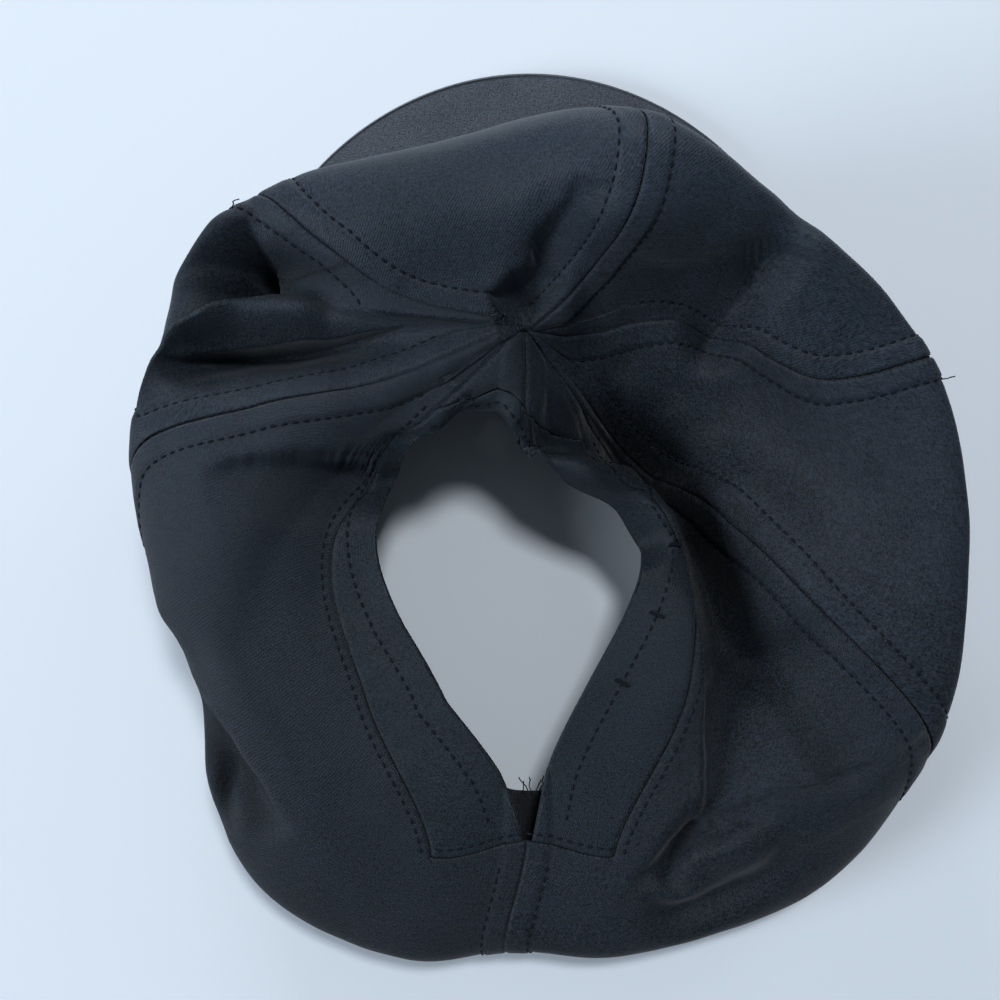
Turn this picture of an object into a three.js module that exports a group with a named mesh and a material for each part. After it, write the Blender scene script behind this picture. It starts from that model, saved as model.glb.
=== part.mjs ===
// A soft ponytail baseball cap that lies on its rim with its crown slumped.
// Millimetres, +Z up, the peak points along +Y and the ponytail opening faces back and up.
import * as THREE from 'three';

const radians = THREE.MathUtils.degToRad;
const smooth = THREE.MathUtils.smoothstep;
const mix = THREE.MathUtils.lerp;

// Driving dimensions
const rimHalfWidth = 83;      // head hollow, half across
const rimHalfLength = 98;     // head hollow, half front to back
const crownHeight = 99;       // top of the front ridge above the rim
const clothWall = 1.2;        // crown cloth with its seam allowances
const clearance = 0.4;        // kept between neighbouring sheets and between the cloth and the peak
const peakHalfWidth = 93;
const peakReach = 63;         // from the rim's front to the tip of the peak
const peakBoard = 3;          // covered board of the peak
const peakTipRise = 7;        // mid-plane of the tip above the table
const frontLift = 9;          // the arched peak lifts the front of the rim
const bandHeight = 37;        // width of the sweatband's and elastic's strip
const bandWall = 1.4;
const crownPointHole = 2.5;   // radius left open where the six panels meet

// Angles in degrees: turns are round the rim from the front, leans are up from the table
const angles = {
  peakSeamTurn: 62,
  peakOutlineTurn: 100,
  elasticTurn: 138,
  bandFrontAngle: 84,
  bandBackAngle: 24,
};

// Crown sections, clockwise from the back as seen from above. turn is the place on the rim in
// degrees from the front. wall, ridge, roll and fall are points on the way from the rim to the
// crown point, as shares [across, forward, up] of the rim's half width, half length and height.
const sections = [
  { name: 'back seam', turn: 180, wall: [-0.10, -1.05, 0.14], ridge: [-0.03, -0.76, 0.26],
    roll: [-0.05, -0.37, 0.36], fall: [-0.05, 0.07, 0.44] },
  { name: 'left placket', turn: 167, wall: [-0.42, -1.07, 0.14], ridge: [-0.33, -0.80, 0.27],
    roll: [-0.53, -0.40, 0.36], fall: [-0.63, 0.02, 0.44] },
  { name: 'back left', turn: 143, wall: [-0.90, -0.87, 0.14], ridge: [-0.91, -0.54, 0.36],
    roll: [-0.86, -0.18, 0.45], fall: [-0.60, 0.21, 0.51] },
  { name: 'rear left seam', turn: 114, wall: [-1.14, -0.10, 0.28], ridge: [-1.23, 0.23, 0.53],
    roll: [-0.86, 0.33, 0.61], fall: [-0.46, 0.41, 0.59] },
  { name: 'left crease', turn: 96, wall: [-1.19, 0.10, 0.30], ridge: [-1.19, 0.46, 0.57],
    roll: [-0.98, 0.53, 0.46], fall: [-0.47, 0.53, 0.57] },
  { name: 'left roll', turn: 84, wall: [-1.17, 0.29, 0.32], ridge: [-1.14, 0.53, 0.58],
    roll: [-0.94, 0.60, 0.58], fall: [-0.52, 0.57, 0.60] },
  { name: 'left pocket', turn: 72, wall: [-1.11, 0.51, 0.34], ridge: [-1.07, 0.70, 0.62],
    roll: [-0.90, 0.72, 0.52], fall: [-0.57, 0.60, 0.62] },
  { name: 'front left seam', turn: 54, wall: [-0.94, 0.78, 0.36], ridge: [-0.84, 0.87, 0.69],
    roll: [-0.64, 0.74, 0.71], fall: [-0.42, 0.62, 0.65] },
  { name: 'front left', turn: 27, wall: [-0.48, 1.04, 0.42], ridge: [-0.29, 0.92, 0.83],
    roll: [-0.24, 0.79, 0.81], fall: [-0.14, 0.67, 0.69] },
  { name: 'front seam', turn: 0, wall: [0.07, 1.08, 0.51], ridge: [0.28, 0.90, 1.00],
    roll: [0.26, 0.74, 0.93], fall: [0.17, 0.67, 0.77] },
  { name: 'front right', turn: -28, wall: [0.60, 0.96, 0.46], ridge: [0.65, 0.77, 0.87],
    roll: [0.60, 0.71, 0.79], fall: [0.37, 0.66, 0.65] },
  { name: 'front right seam', turn: -60, wall: [1.06, 0.51, 0.32], ridge: [1.18, 0.46, 0.63],
    roll: [0.87, 0.42, 0.58], fall: [0.52, 0.60, 0.53] },
  { name: 'side right', turn: -90, wall: [1.16, 0.00, 0.26], ridge: [1.32, -0.03, 0.47],
    roll: [1.06, 0.06, 0.48], fall: [0.60, 0.36, 0.40] },
  { name: 'rear right seam', turn: -120, wall: [1.17, -0.60, 0.20], ridge: [1.21, -0.49, 0.36],
    roll: [0.86, -0.15, 0.45], fall: [0.51, 0.20, 0.42] },
  { name: 'back right', turn: -147, wall: [0.96, -0.86, 0.16], ridge: [0.72, -0.68, 0.33],
    roll: [0.64, -0.26, 0.30], fall: [0.50, 0.12, 0.36] },
  { name: 'right placket', turn: -167, wall: [0.27, -1.07, 0.14], ridge: [0.24, -0.80, 0.27],
    roll: [0.47, -0.37, 0.36], fall: [0.45, 0.01, 0.40] },
];
const crownPoint = [-0.04, 0.56, 0.61];
const backTurn = -180;                // the back seam's turn, reached from the right
const stations = ['wall', 'ridge', 'roll', 'fall'];
const crownStation = stations.length + 1;

// Creases and rolls pressed into the crown: a line from one point to the other, both [across,
// forward] shares of the rim's half sizes, with rise as a share of the crown's height (down when
// negative) and half width as a share of the rim's half width. They fade out towards the rim
// between the two stations of foldFade.
const folds = [
  { name: 'recess beside the crown point', from: [0.20, 0.33], to: [0.42, 0.22], rise: -0.14, half: 0.20 },
  { name: 'front left dent', from: [0.02, 0.72], to: [-0.05, 0.62], rise: -0.05, half: 0.10 },
  { name: 'front right dent', from: [0.62, 0.66], to: [0.45, 0.52], rise: -0.07, half: 0.16 },
  { name: 'fold over the left placket', from: [-0.60, 0.22], to: [-0.16, 0.34], rise: 0.05, half: 0.12 },
  { name: 'drop at the right placket', from: [0.56, -0.15], to: [0.58, -0.55], rise: -0.04, half: 0.12 },
  { name: 'left overhang', from: [-0.97, -0.37], to: [-0.74, -0.66], rise: 0.03, half: 0.10 },
  { name: 'under the left overhang', from: [-0.98, -0.52], to: [-0.84, -0.72], rise: -0.05, half: 0.10 },
];

const foldFade = { from: 0.5, to: 1.5 };

// The ponytail opening: its half width at each station, as a share of the way from the back seam
// to the placket's outer seam on either side.
const openingProfile = [
  { station: 2.0, left: 0.05, right: 0.05 },
  { station: 2.5, left: 0.21, right: 0.17 },
  { station: 3.0, left: 0.46, right: 0.35 },
  { station: 3.5, left: 0.59, right: 0.53 },
  { station: 4.0, left: 0.68, right: 0.70 },
  { station: 4.25, left: 0.70, right: 0.58 },
  { station: 4.45, left: 0.60, right: 0.12 },
];
const openingFoot = openingProfile[0].station;               // where the two edges part in a V
const openingHead = openingProfile.at(-1).station;           // the flat upper edge
const placketHead = mix(openingHead, crownStation, 0.31);    // the plackets' upper seam

// Grid of the crown: how many columns each stretch between two seams has, and its rows
const stretches = [
  { name: 'left opening', from: 0, to: 'left', columns: 3 },
  { name: 'left placket', from: 'left', to: 1, columns: 3 },
  { name: 'back left', from: 1, to: 3, columns: 7 },
  { name: 'side left', from: 3, to: 7, columns: 12 },
  { name: 'front left', from: 7, to: 9, columns: 9 },
  { name: 'front right', from: 9, to: 11, columns: 9 },
  { name: 'side right', from: 11, to: 13, columns: 9 },
  { name: 'back right', from: 13, to: 15, columns: 7 },
  { name: 'right placket', from: 15, to: 'right', columns: 3 },
  { name: 'right opening', from: 'right', to: 16, columns: 3 },
];
const rowsPerStation = 4;
const lastRowShares = [0.3, 0.6];     // rows between the plackets' upper seam and the crown point

// Rim of the head hollow
function rimLift(turn) {
  const ends = Math.cos(radians(angles.peakSeamTurn));
  const share = (Math.cos(radians(turn)) - ends) / (1 - ends);
  return frontLift * smooth(share, 0, 1);
}

function rimPoint(turn) {
  const across = -rimHalfWidth * Math.sin(radians(turn));
  const forward = rimHalfLength * Math.cos(radians(turn));
  return new THREE.Vector3(across, forward, rimLift(turn));
}

// Crown cloth, as a surface over the section number and the station
function crownSize([across, forward, up]) {
  return new THREE.Vector3(across * rimHalfWidth, forward * rimHalfLength, up * crownHeight);
}

function makeMeridian(section) {
  const points = [rimPoint(section.turn)];
  for (const station of stations) {
    points.push(crownSize(section[station]));
  }
  points.push(crownSize(crownPoint));
  return new THREE.CatmullRomCurve3(points, false, 'centripetal');
}
const meridians = sections.map(makeMeridian);

function foldRise(x, y) {
  const here = new THREE.Vector2(x, y);
  let rise = 0;
  for (const fold of folds) {
    const from = new THREE.Vector2(fold.from[0] * rimHalfWidth, fold.from[1] * rimHalfLength);
    const to = new THREE.Vector2(fold.to[0] * rimHalfWidth, fold.to[1] * rimHalfLength);
    const line = to.clone().sub(from);
    const along = THREE.MathUtils.clamp(here.clone().sub(from).dot(line) / line.lengthSq(), 0, 1);
    const away = here.distanceTo(from.addScaledVector(line, along)) / (fold.half * rimHalfWidth);
    if (away < 1) {
      rise += fold.rise * crownHeight * (1 - away * away) ** 2;
    }
  }
  return rise;
}

const rings = new Map();

function ringAt(station) {
  if (!rings.has(station)) {
    const points = meridians.map((meridian) => meridian.getPoint(station / crownStation));
    rings.set(station, new THREE.CatmullRomCurve3(points, true, 'centripetal'));
  }
  return rings.get(station);
}

function ringPoint(section, station) {
  const turns = section / sections.length;
  return ringAt(station).getPoint(turns - Math.floor(turns));
}

function turnAt(section) {
  const whole = Math.floor(section);
  const index = (whole + sections.length) % sections.length;
  const next = index + 1 < sections.length ? sections[index + 1].turn : backTurn;
  return mix(sections[index].turn, next, section - whole);
}

// The cloth's lower edge is level with the table, and follows the lift at the front exactly
function rimTrim(section, station) {
  return station < 1 ? (rimLift(turnAt(section)) - ringPoint(section, 0).z) * (1 - station) : 0;
}

function crownSurface(section, station) {
  const point = ringPoint(section, station);
  point.z += rimTrim(section, station);
  point.z += foldRise(point.x, point.y) * smooth(station, foldFade.from, foldFade.to);
  return point;
}

function crownNormal(section, station) {
  const step = 0.02;   // of a section or a station
  const along = crownSurface(section + step, station).sub(crownSurface(section - step, station));
  const low = Math.max(station - step, 0);
  const high = Math.min(station + step, crownStation - step);
  const up = crownSurface(section, high).sub(crownSurface(section, low));
  return up.cross(along).normalize();
}

function sectionAtTurn(turn) {
  const signed = turn > -backTurn ? turn + 2 * backTurn : turn;
  const next = sections.findIndex((section) => section.turn < signed);
  const before = (next > 0 ? next : sections.length) - 1;
  const nextTurn = next > 0 ? sections[next].turn : backTurn;
  return before + (sections[before].turn - signed) / (sections[before].turn - nextTurn);
}

// A point beside the rim, level with the cloth's lower edge and clear of the leaning cloth up to
// a height
function besideRim(turn, outward, height) {
  const stationStep = 0.01;
  const section = sectionAtTurn(turn);
  const normal = crownNormal(section, 0).setZ(0).normalize();
  const rim = crownSurface(section, 0);
  let point = rim.clone();
  for (let step = 1; point.z < rim.z + height; step += 1) {
    point = crownSurface(section, step * stationStep);
  }
  point.addScaledVector(normal, outward);
  point.z = rim.z;
  return { point, normal };
}

function openingShare(station, side) {
  const clamped = THREE.MathUtils.clamp(station, openingFoot, openingHead);
  const next = Math.max(1, openingProfile.findIndex((row) => row.station >= clamped));
  const low = openingProfile[next - 1];
  const high = openingProfile[next];
  const share = (clamped - low.station) / (high.station - low.station);
  return mix(low[side], high[side], share);
}

function sectionAt(place, station) {
  if (place === 'left') {
    return openingShare(station, 'left');
  }
  if (place === 'right') {
    return sections.length - openingShare(station, 'right');
  }
  return place;
}

// Stations of the grid's rows, with a row on each edge of the opening and of the plackets
function makeRows() {
  const rows = [];
  const lastWhole = stations.length;
  for (let row = 0; row <= lastWhole * rowsPerStation; row += 1) {
    rows.push(row / rowsPerStation);
  }
  rows.push((lastWhole + openingHead) / 2, openingHead, placketHead);
  rows.push(...lastRowShares.map((share) => mix(placketHead, crownStation, share)));
  const tipLength = meridians[0].getPoint(placketHead / crownStation).distanceTo(crownSize(crownPoint));
  rows.push(crownStation - (crownStation - placketHead) * (crownPointHole / tipLength));
  return rows;
}
const rows = makeRows();
const footRow = rows.indexOf(openingFoot);
const headRow = rows.indexOf(openingHead);
const placketRow = rows.indexOf(placketHead);

// Columns of the grid, and the first and last column of each stretch
function makeColumns() {
  const columns = [];
  const spans = {};
  for (const stretch of stretches) {
    spans[stretch.name] = [columns.length, columns.length + stretch.columns];
    for (let step = 0; step < stretch.columns; step += 1) {
      columns.push({ stretch, share: step / stretch.columns });
    }
  }
  return { columns, spans };
}
const { columns, spans } = makeColumns();

function gridPlace(column, row) {
  const { stretch, share } = columns[column % columns.length];
  const station = rows[row];
  const section = mix(sectionAt(stretch.from, station), sectionAt(stretch.to, station), share);
  return { section, station };
}

const crownGrid = {
  point(column, row) {
    const { section, station } = gridPlace(column, row);
    return crownSurface(section, station);
  },
  normal(column, row) {
    const { section, station } = gridPlace(column, row);
    const normal = crownNormal(section, station);
    return row === 0 ? normal.setZ(0).normalize() : normal;
  },
  level: (row) => row === 0,
};

// A sheet of even thickness over a set of grid cells. Its free edges stand back by half a
// clearance, so that two sheets sewn together along a grid line keep the whole of it.
function makeSheet(cells, grid, thickness) {
  const key = (column, row) => `${column},${row}`;
  const used = new Set(cells.map(([column, row]) => key(column, row)));
  const nodes = new Map();
  const positions = [];
  const triangles = [];

  // Steps back from each free edge that meets at a node, square to it and along the sheet
  function edgeSteps(column, row, point, normal) {
    const steps = [];
    for (const [across, up] of [[1, 0], [-1, 0], [0, 1], [0, -1]]) {
      const firstColumn = across ? Math.min(column, column + across) : column - 1;
      const firstRow = across ? row - 1 : Math.min(row, row + up);
      const low = [firstColumn, firstRow];
      const high = across ? [firstColumn, row] : [column, firstRow];
      const lowUsed = used.has(key(...low));
      if (lowUsed !== used.has(key(...high))) {
        const side = lowUsed ? -1 : 1;
        const inside = across ? grid.point(column, row + side) : grid.point(column + side, row);
        const edge = grid.point(column + across, row + up).sub(point);
        const step = edge.cross(normal).normalize();
        steps.push(step.multiplyScalar(Math.sign(step.dot(inside.sub(point)))));
      }
    }
    return steps;
  }

  function addNode(column, row) {
    const point = grid.point(column, row);
    const normal = grid.normal(column, row);
    const steps = edgeSteps(column, row, point, normal);
    if (steps.length > 0) {
      const height = point.z;
      const [first, second] = steps;
      point.addScaledVector(first.clone().add(second), clearance / 2 / (1 + first.dot(second)));
      point.z = grid.level(row) ? height : point.z;
    }
    const half = (grid.half ? grid.half(column, row) : 1) * thickness / 2;
    const outer = positions.length / 3;
    positions.push(...point.clone().addScaledVector(normal, half).toArray());
    positions.push(...point.clone().addScaledVector(normal, -half).toArray());
    return { outer, inner: outer + 1 };
  }

  function node(column, row) {
    const name = key(column, row);
    if (!nodes.has(name)) {
      nodes.set(name, addNode(column, row));
    }
    return nodes.get(name);
  }

  function addQuad(a, b, c, d) {
    triangles.push(a, b, c, a, c, d);
  }

  for (const [column, row] of cells) {
    const around = [[column, row], [column, row + 1], [column + 1, row + 1], [column + 1, row]];
    const corners = around.map(([c, r]) => node(c, r));
    const beyond = [[column - 1, row], [column, row + 1], [column + 1, row], [column, row - 1]];
    addQuad(...corners.map((corner) => corner.outer));
    addQuad(...corners.map((corner) => corner.inner).reverse());
    beyond.forEach(([c, r], side) => {
      if (!used.has(key(c, r))) {
        const first = corners[side];
        const second = corners[(side + 1) % corners.length];
        addQuad(second.outer, first.outer, first.inner, second.inner);
      }
    });
  }
  const geometry = new THREE.BufferGeometry();
  geometry.setAttribute('position', new THREE.Float32BufferAttribute(positions, 3));
  geometry.setIndex(triangles);
  geometry.computeVertexNormals();
  return geometry;
}

function cellsWhere(firstColumn, lastColumn, rowCount, keep = () => true) {
  const cells = [];
  for (let column = firstColumn; column < lastColumn; column += 1) {
    for (let row = 0; row < rowCount; row += 1) {
      if (keep(column, row)) {
        cells.push([column, row]);
      }
    }
  }
  return cells;
}

// Six crown panels and the two plackets
function inPlacket(column, row) {
  const beside = column < spans['left placket'][1] || column >= spans['right placket'][0];
  return beside && row >= footRow && row < placketRow;
}

function inOpening(column, row) {
  const beside = column < spans['left opening'][1] || column >= spans['right opening'][0];
  return beside && row >= footRow && row < headRow;
}

function makePanel(firstStretch, lastStretch) {
  const keep = (column, row) => !inPlacket(column, row);
  const cells = cellsWhere(spans[firstStretch][0], spans[lastStretch][1], rows.length - 1, keep);
  return makeSheet(cells, crownGrid, clothWall);
}

function makePlacket(firstStretch, lastStretch) {
  const keep = (column, row) => inPlacket(column, row) && !inOpening(column, row);
  const cells = cellsWhere(spans[firstStretch][0], spans[lastStretch][1], rows.length - 1, keep);
  return makeSheet(cells, crownGrid, clothWall);
}

// Peak: a thin arched board sewn to the outside of the rim. Its outline is nearly half an ellipse,
// drawn in to the end of the seam at each corner.
const peakColumns = 28;
const peakRows = 7;
const outlineDepth = 0.63;    // of the half ellipse, as a share of the tip's distance from the rim's middle
const cornerPull = { most: 0.9, power: 9 };
const tipEdge = 0.5;          // thickness of the tip's edge, as a share of the board

function peakRoot(share) {
  const { point } = besideRim(angles.peakSeamTurn * share, clothWall / 2 + clearance, peakBoard);
  point.z += peakBoard / 2;
  return point;
}

function peakOutline(share) {
  const sweep = radians(angles.peakOutlineTurn) * share;
  const tip = rimHalfLength + peakReach;
  const forward = tip - tip * outlineDepth * (1 - Math.cos(sweep));
  const outline = new THREE.Vector3(-peakHalfWidth * Math.sin(sweep), forward, 0);
  const toEnd = Math.abs(share);
  outline.lerp(peakRoot(share), cornerPull.most * toEnd ** cornerPull.power);
  outline.z = mix(peakTipRise, peakBoard / 2, smooth(toEnd, 0, cornerPull.most));
  return outline;
}

const peakGrid = {
  point(column, row) {
    const share = 2 * column / peakColumns - 1;
    const along = row / peakRows;
    const point = peakRoot(share).lerp(peakOutline(share), along);
    point.z += peakBoard * along * (1 - along);
    return point;
  },
  normal: () => new THREE.Vector3(0, 0, 1),
  half: (column, row) => (row === peakRows ? tipEdge : 1),
  level: () => false,
};

function makePeak() {
  return makeSheet(cellsWhere(0, peakColumns, peakRows), peakGrid, peakBoard);
}

// Sweatband and elastic: one strip inside the rim that stands at the front and flops at the back
const bandColumns = 60;
const bandRows = 5;
const flop = { from: -0.25, to: 0.75 };   // how far back it starts to flop and has flopped, 1 at the back

function bandTurn(column) {
  return -2 * backTurn * column / bandColumns;
}

function bandColumn(turn) {
  return Math.round(bandColumns * turn / (-2 * backTurn));
}

const bandGrid = {
  point(column, row) {
    const turn = bandTurn(column);
    const { point, normal } = besideRim(turn, -(clothWall / 2 + clearance + bandWall / 2), 0);
    const back = smooth(-Math.cos(radians(turn)), flop.from, flop.to);
    const lean = radians(mix(angles.bandFrontAngle, angles.bandBackAngle, back));
    const height = bandHeight * row / bandRows;
    point.addScaledVector(normal, -height * Math.cos(lean));
    point.z += height * Math.sin(lean);
    return point;
  },
  normal(column, row) {
    const along = bandGrid.point(column + 1, row).sub(bandGrid.point(column - 1, row));
    const up = bandGrid.point(column, row + 1).sub(bandGrid.point(column, row));
    const normal = up.cross(along).normalize();
    return row === 0 ? normal.setZ(0).normalize() : normal;
  },
  level: (row) => row === 0,
};

function makeBand(firstColumn, lastColumn) {
  return makeSheet(cellsWhere(firstColumn, lastColumn, bandRows), bandGrid, bandWall);
}

// Materials
const twill = new THREE.MeshStandardMaterial({ color: '#2b2f36', roughness: 0.9, metalness: 0 });
const facing = new THREE.MeshStandardMaterial({ color: '#30353c', roughness: 0.85, metalness: 0 });
const peakCloth = new THREE.MeshStandardMaterial({ color: '#33373e', roughness: 0.9, metalness: 0 });
const bandCloth = new THREE.MeshStandardMaterial({ color: '#25282e', roughness: 0.95, metalness: 0 });
const elastic = new THREE.MeshStandardMaterial({ color: '#1d2026', roughness: 0.95, metalness: 0 });

// Assembly, with the origin under the middle of the cap
const cap = new THREE.Group();

function addPiece(name, geometry, material) {
  const mesh = new THREE.Mesh(geometry, material);
  mesh.name = name;
  cap.add(mesh);
}

addPiece('peak', makePeak(), peakCloth);
addPiece('front_left_panel', makePanel('front left', 'front left'), twill);
addPiece('front_right_panel', makePanel('front right', 'front right'), twill);
addPiece('side_left_panel', makePanel('side left', 'side left'), twill);
addPiece('side_right_panel', makePanel('side right', 'side right'), twill);
addPiece('back_left_panel', makePanel('left opening', 'back left'), twill);
addPiece('back_right_panel', makePanel('back right', 'right opening'), twill);
addPiece('placket_left', makePlacket('left opening', 'left placket'), facing);
addPiece('placket_right', makePlacket('right placket', 'right opening'), facing);
const elasticStart = bandColumn(angles.elasticTurn);
addPiece('sweatband', makeBand(-elasticStart, elasticStart), bandCloth);
addPiece('elastic_band', makeBand(elasticStart, bandColumns - elasticStart), elastic);

const box = new THREE.Box3().setFromObject(cap);
const boxMiddle = box.getCenter(new THREE.Vector3());
for (const piece of cap.children) {
  piece.position.set(-boxMiddle.x, -boxMiddle.y, -box.min.z);
}

export default cap;
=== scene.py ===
# %% [markdown]
# # A ponytail baseball cap
#
# The cap is soft and unstructured. It lies on its rim, and its crown has slumped into a loop of rolls
# round a hollow. At the back a large opening is framed by two stitched facings that meet in a V over
# a ribbed elastic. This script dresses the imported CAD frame: each CAD sheet is replaced by a finer one
# with real seams, folds and stitches, in the same place and at the same size.

# %% Start
import math

import bpy
import numpy as np
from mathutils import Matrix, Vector, noise
from mathutils.bvhtree import BVHTree


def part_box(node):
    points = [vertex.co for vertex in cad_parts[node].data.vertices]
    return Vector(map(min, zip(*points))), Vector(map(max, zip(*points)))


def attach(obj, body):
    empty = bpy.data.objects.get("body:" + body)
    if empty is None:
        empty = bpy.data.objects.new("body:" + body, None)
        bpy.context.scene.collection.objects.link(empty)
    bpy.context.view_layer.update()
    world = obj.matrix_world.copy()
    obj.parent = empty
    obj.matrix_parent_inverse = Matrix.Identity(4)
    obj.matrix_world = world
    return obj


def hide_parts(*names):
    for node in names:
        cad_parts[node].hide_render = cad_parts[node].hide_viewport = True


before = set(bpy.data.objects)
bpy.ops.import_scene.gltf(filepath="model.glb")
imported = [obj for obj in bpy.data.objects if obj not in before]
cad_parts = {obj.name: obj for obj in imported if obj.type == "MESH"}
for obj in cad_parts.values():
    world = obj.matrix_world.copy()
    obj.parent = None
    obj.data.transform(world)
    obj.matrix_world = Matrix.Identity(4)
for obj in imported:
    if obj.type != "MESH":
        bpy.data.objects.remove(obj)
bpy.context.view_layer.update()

# %% [markdown]
# ## Where the cap stands
#
# All sizes below are in millimetres from the middle of the rim, and `to_frame` turns them into the
# frame's metres. The peak is symmetrical and its tip is the cap's foremost point, so the box of the
# CAD peak shows where the middle of the rim lies.

# %% Sizes and the middle of the rim
MM = 0.001
RIM_HALF = np.array([83.0, 98.0])
CROWN_HEIGHT = 99.0
PEAK_TIP = 160.8
CLOTH = 1.1

peak_low, peak_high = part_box("peak")
rim_middle = np.array([(peak_low.x + peak_high.x) / 2, peak_high.y - PEAK_TIP * MM, 0.0])


def to_frame(points):
    """Millimetres from the middle of the rim, as the frame's metres."""
    return np.asarray(points, float) * MM + rim_middle


print("middle of the rim, m:", rim_middle.round(5))

# %% [markdown]
# ## Camera
#
# The photograph was taken from close above and a little behind the cap. The near rolls look larger
# than the far peak, so the distance matters as much as the angle.

# %% Camera
CAMERA_PLACE = (-9.5, -45.8, 317.4)
CAMERA_FROM_VERTICAL = 12.0
FOCAL_SHARE = 1.072

camera_data = bpy.data.cameras.new("camera")
camera_data.sensor_width = 36.0
camera_data.lens = camera_data.sensor_width * FOCAL_SHARE
camera = bpy.data.objects.new("camera", camera_data)
camera.location = Vector(to_frame(CAMERA_PLACE))
camera.rotation_euler = (math.radians(CAMERA_FROM_VERTICAL), 0.0, 0.0)
bpy.context.scene.collection.objects.link(camera)
bpy.context.scene.camera = camera
print("camera, m:", [round(x, 3) for x in camera.location])

# %% [markdown]
# ## Shader maths as Python
#
# A material here is an expression. `Shade` wraps one output of a node, and adding or multiplying two
# of them adds the Math node that does it. `make_node` makes any other node.


# %% A wrapped socket
class Shade:
    """One output of a node. Python's operators add the Math nodes that they stand for."""

    def __init__(self, tree, socket):
        self.tree = tree
        self.socket = socket

    def math(self, operation, first, second=0.0):
        return make_node(self.tree, "ShaderNodeMath", {"operation": operation}, {0: first, 1: second})

    def __add__(self, other):
        return self.math("ADD", self, other)

    def __radd__(self, other):
        return self.math("ADD", other, self)

    def __sub__(self, other):
        return self.math("SUBTRACT", self, other)

    def __rsub__(self, other):
        return self.math("SUBTRACT", other, self)

    def __mul__(self, other):
        return self.math("MULTIPLY", self, other)

    def __rmul__(self, other):
        return self.math("MULTIPLY", other, self)

    def sine(self):
        return self.math("SINE", self)


def make_node(tree, kind, settings=None, inputs=None, output=0):
    """A node with its settings made first, then the values or links of its sockets."""
    node = tree.nodes.new(kind)
    for name, value in (settings or {}).items():
        setattr(node, name, value)
    for name, value in (inputs or {}).items():
        if isinstance(value, Shade):
            tree.links.new(value.socket, node.inputs[name])
        else:
            node.inputs[name].default_value = value
    return Shade(tree, node.outputs[output])


# %% [markdown]
# ## Cloth
#
# The crown is a fine dark twill. Its diagonal ribs stand 0.8 mm apart, and each yarn catches the light
# a little differently, so the cloth is never one flat grey. A picture of cloth could show this, but noise
# and a sine wave need none and never repeat. The sheets below carry `cloth`, their own place on
# the flat cloth in millimetres, so the ribs follow each panel as they would if it had been cut from a
# roll. A second attribute paints light and shade into the colour: the cloth is darker deep in its folds
# and paler where it lies open and high, and the peak is paler at its rubbed edge.

# %% Cloth material
YARN_BUMP = 0.00008
YARN_STRETCH = (0.5, 2.4, 1.0)
WEFT_STRETCH = (2.4, 0.5, 1.0)
RIB_WOBBLE = 1.2
# pattern, how much it lightens the cloth, and how high it stands
PATTERNS = {
    "rib": (0.08, 0.35),
    "yarn": (1.6, 1.2),
    "weft": (1.4, 1.0),
    "speck": (3.4, 1.6),
    "mottle": (0.6, 0.0),
}
SPECK_ROUGHNESS = 0.15
WEAR_POLISH = 0.1
SHEEN_TINT = (0.9, 0.95, 1.0, 1.0)


def cloth_material(name, colour, rib_pitch, rib_slope, rib_bump, roughness, sheen):
    """Woven cloth with diagonal ribs, uneven yarns, faint mottling, and painted shade, light and wear."""
    material = bpy.data.materials.new(name)
    material.use_nodes = True
    tree = material.node_tree
    shader = tree.nodes["Principled BSDF"]
    place = make_node(tree, "ShaderNodeAttribute", {"attribute_name": "cloth"}, output="Vector")
    parts = make_node(tree, "ShaderNodeSeparateXYZ", inputs={0: place})
    across = parts
    along = Shade(tree, parts.socket.node.outputs[1])
    shade_and_wear = make_node(tree, "ShaderNodeAttribute", {"attribute_name": "shade_and_wear"}, output="Fac")

    def grain(scale, detail, stretch=(1.0, 1.0, 1.0)):
        mapped = make_node(tree, "ShaderNodeMapping", inputs={"Vector": place, "Scale": stretch})
        return make_node(
            tree,
            "ShaderNodeTexNoise",
            inputs={"Vector": mapped, "Scale": scale, "Detail": detail, "Roughness": 0.6},
        )

    wobble = grain(0.35, 1.0) - 0.5
    turn = 2 * math.pi / rib_pitch
    fields = {
        "rib": ((across + along * rib_slope + wobble * RIB_WOBBLE) * turn).sine(),
        "yarn": grain(1.1, 2.0, YARN_STRETCH) - 0.5,
        "weft": grain(1.1, 2.0, WEFT_STRETCH) - 0.5,
        "speck": grain(2.1, 1.0) - 0.5,
        "mottle": grain(0.05, 3.0) - 0.5,
    }
    # the second attribute paints shade into the folds and light onto the open, high cloth
    shade = 1.0 + shade_and_wear
    height = 0.0
    for pattern, (lighter, higher) in PATTERNS.items():
        shade = shade + fields[pattern] * lighter
        height = fields[pattern] * higher + height
    tint = make_node(tree, "ShaderNodeVectorMath", {"operation": "SCALE"}, {0: colour, "Scale": shade})
    tree.links.new(tint.socket, shader.inputs["Base Color"])
    rough = roughness + fields["speck"] * SPECK_ROUGHNESS - shade_and_wear * WEAR_POLISH
    tree.links.new(rough.socket, shader.inputs["Roughness"])
    bump = make_node(
        tree,
        "ShaderNodeBump",
        inputs={"Strength": rib_bump, "Distance": YARN_BUMP, "Height": height},
    )
    tree.links.new(bump.socket, shader.inputs["Normal"])
    shader.inputs["Sheen Weight"].default_value = sheen
    shader.inputs["Sheen Roughness"].default_value = 0.4
    shader.inputs["Sheen Tint"].default_value = SHEEN_TINT
    shader.inputs["Specular IOR Level"].default_value = 0.12
    return material


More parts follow.
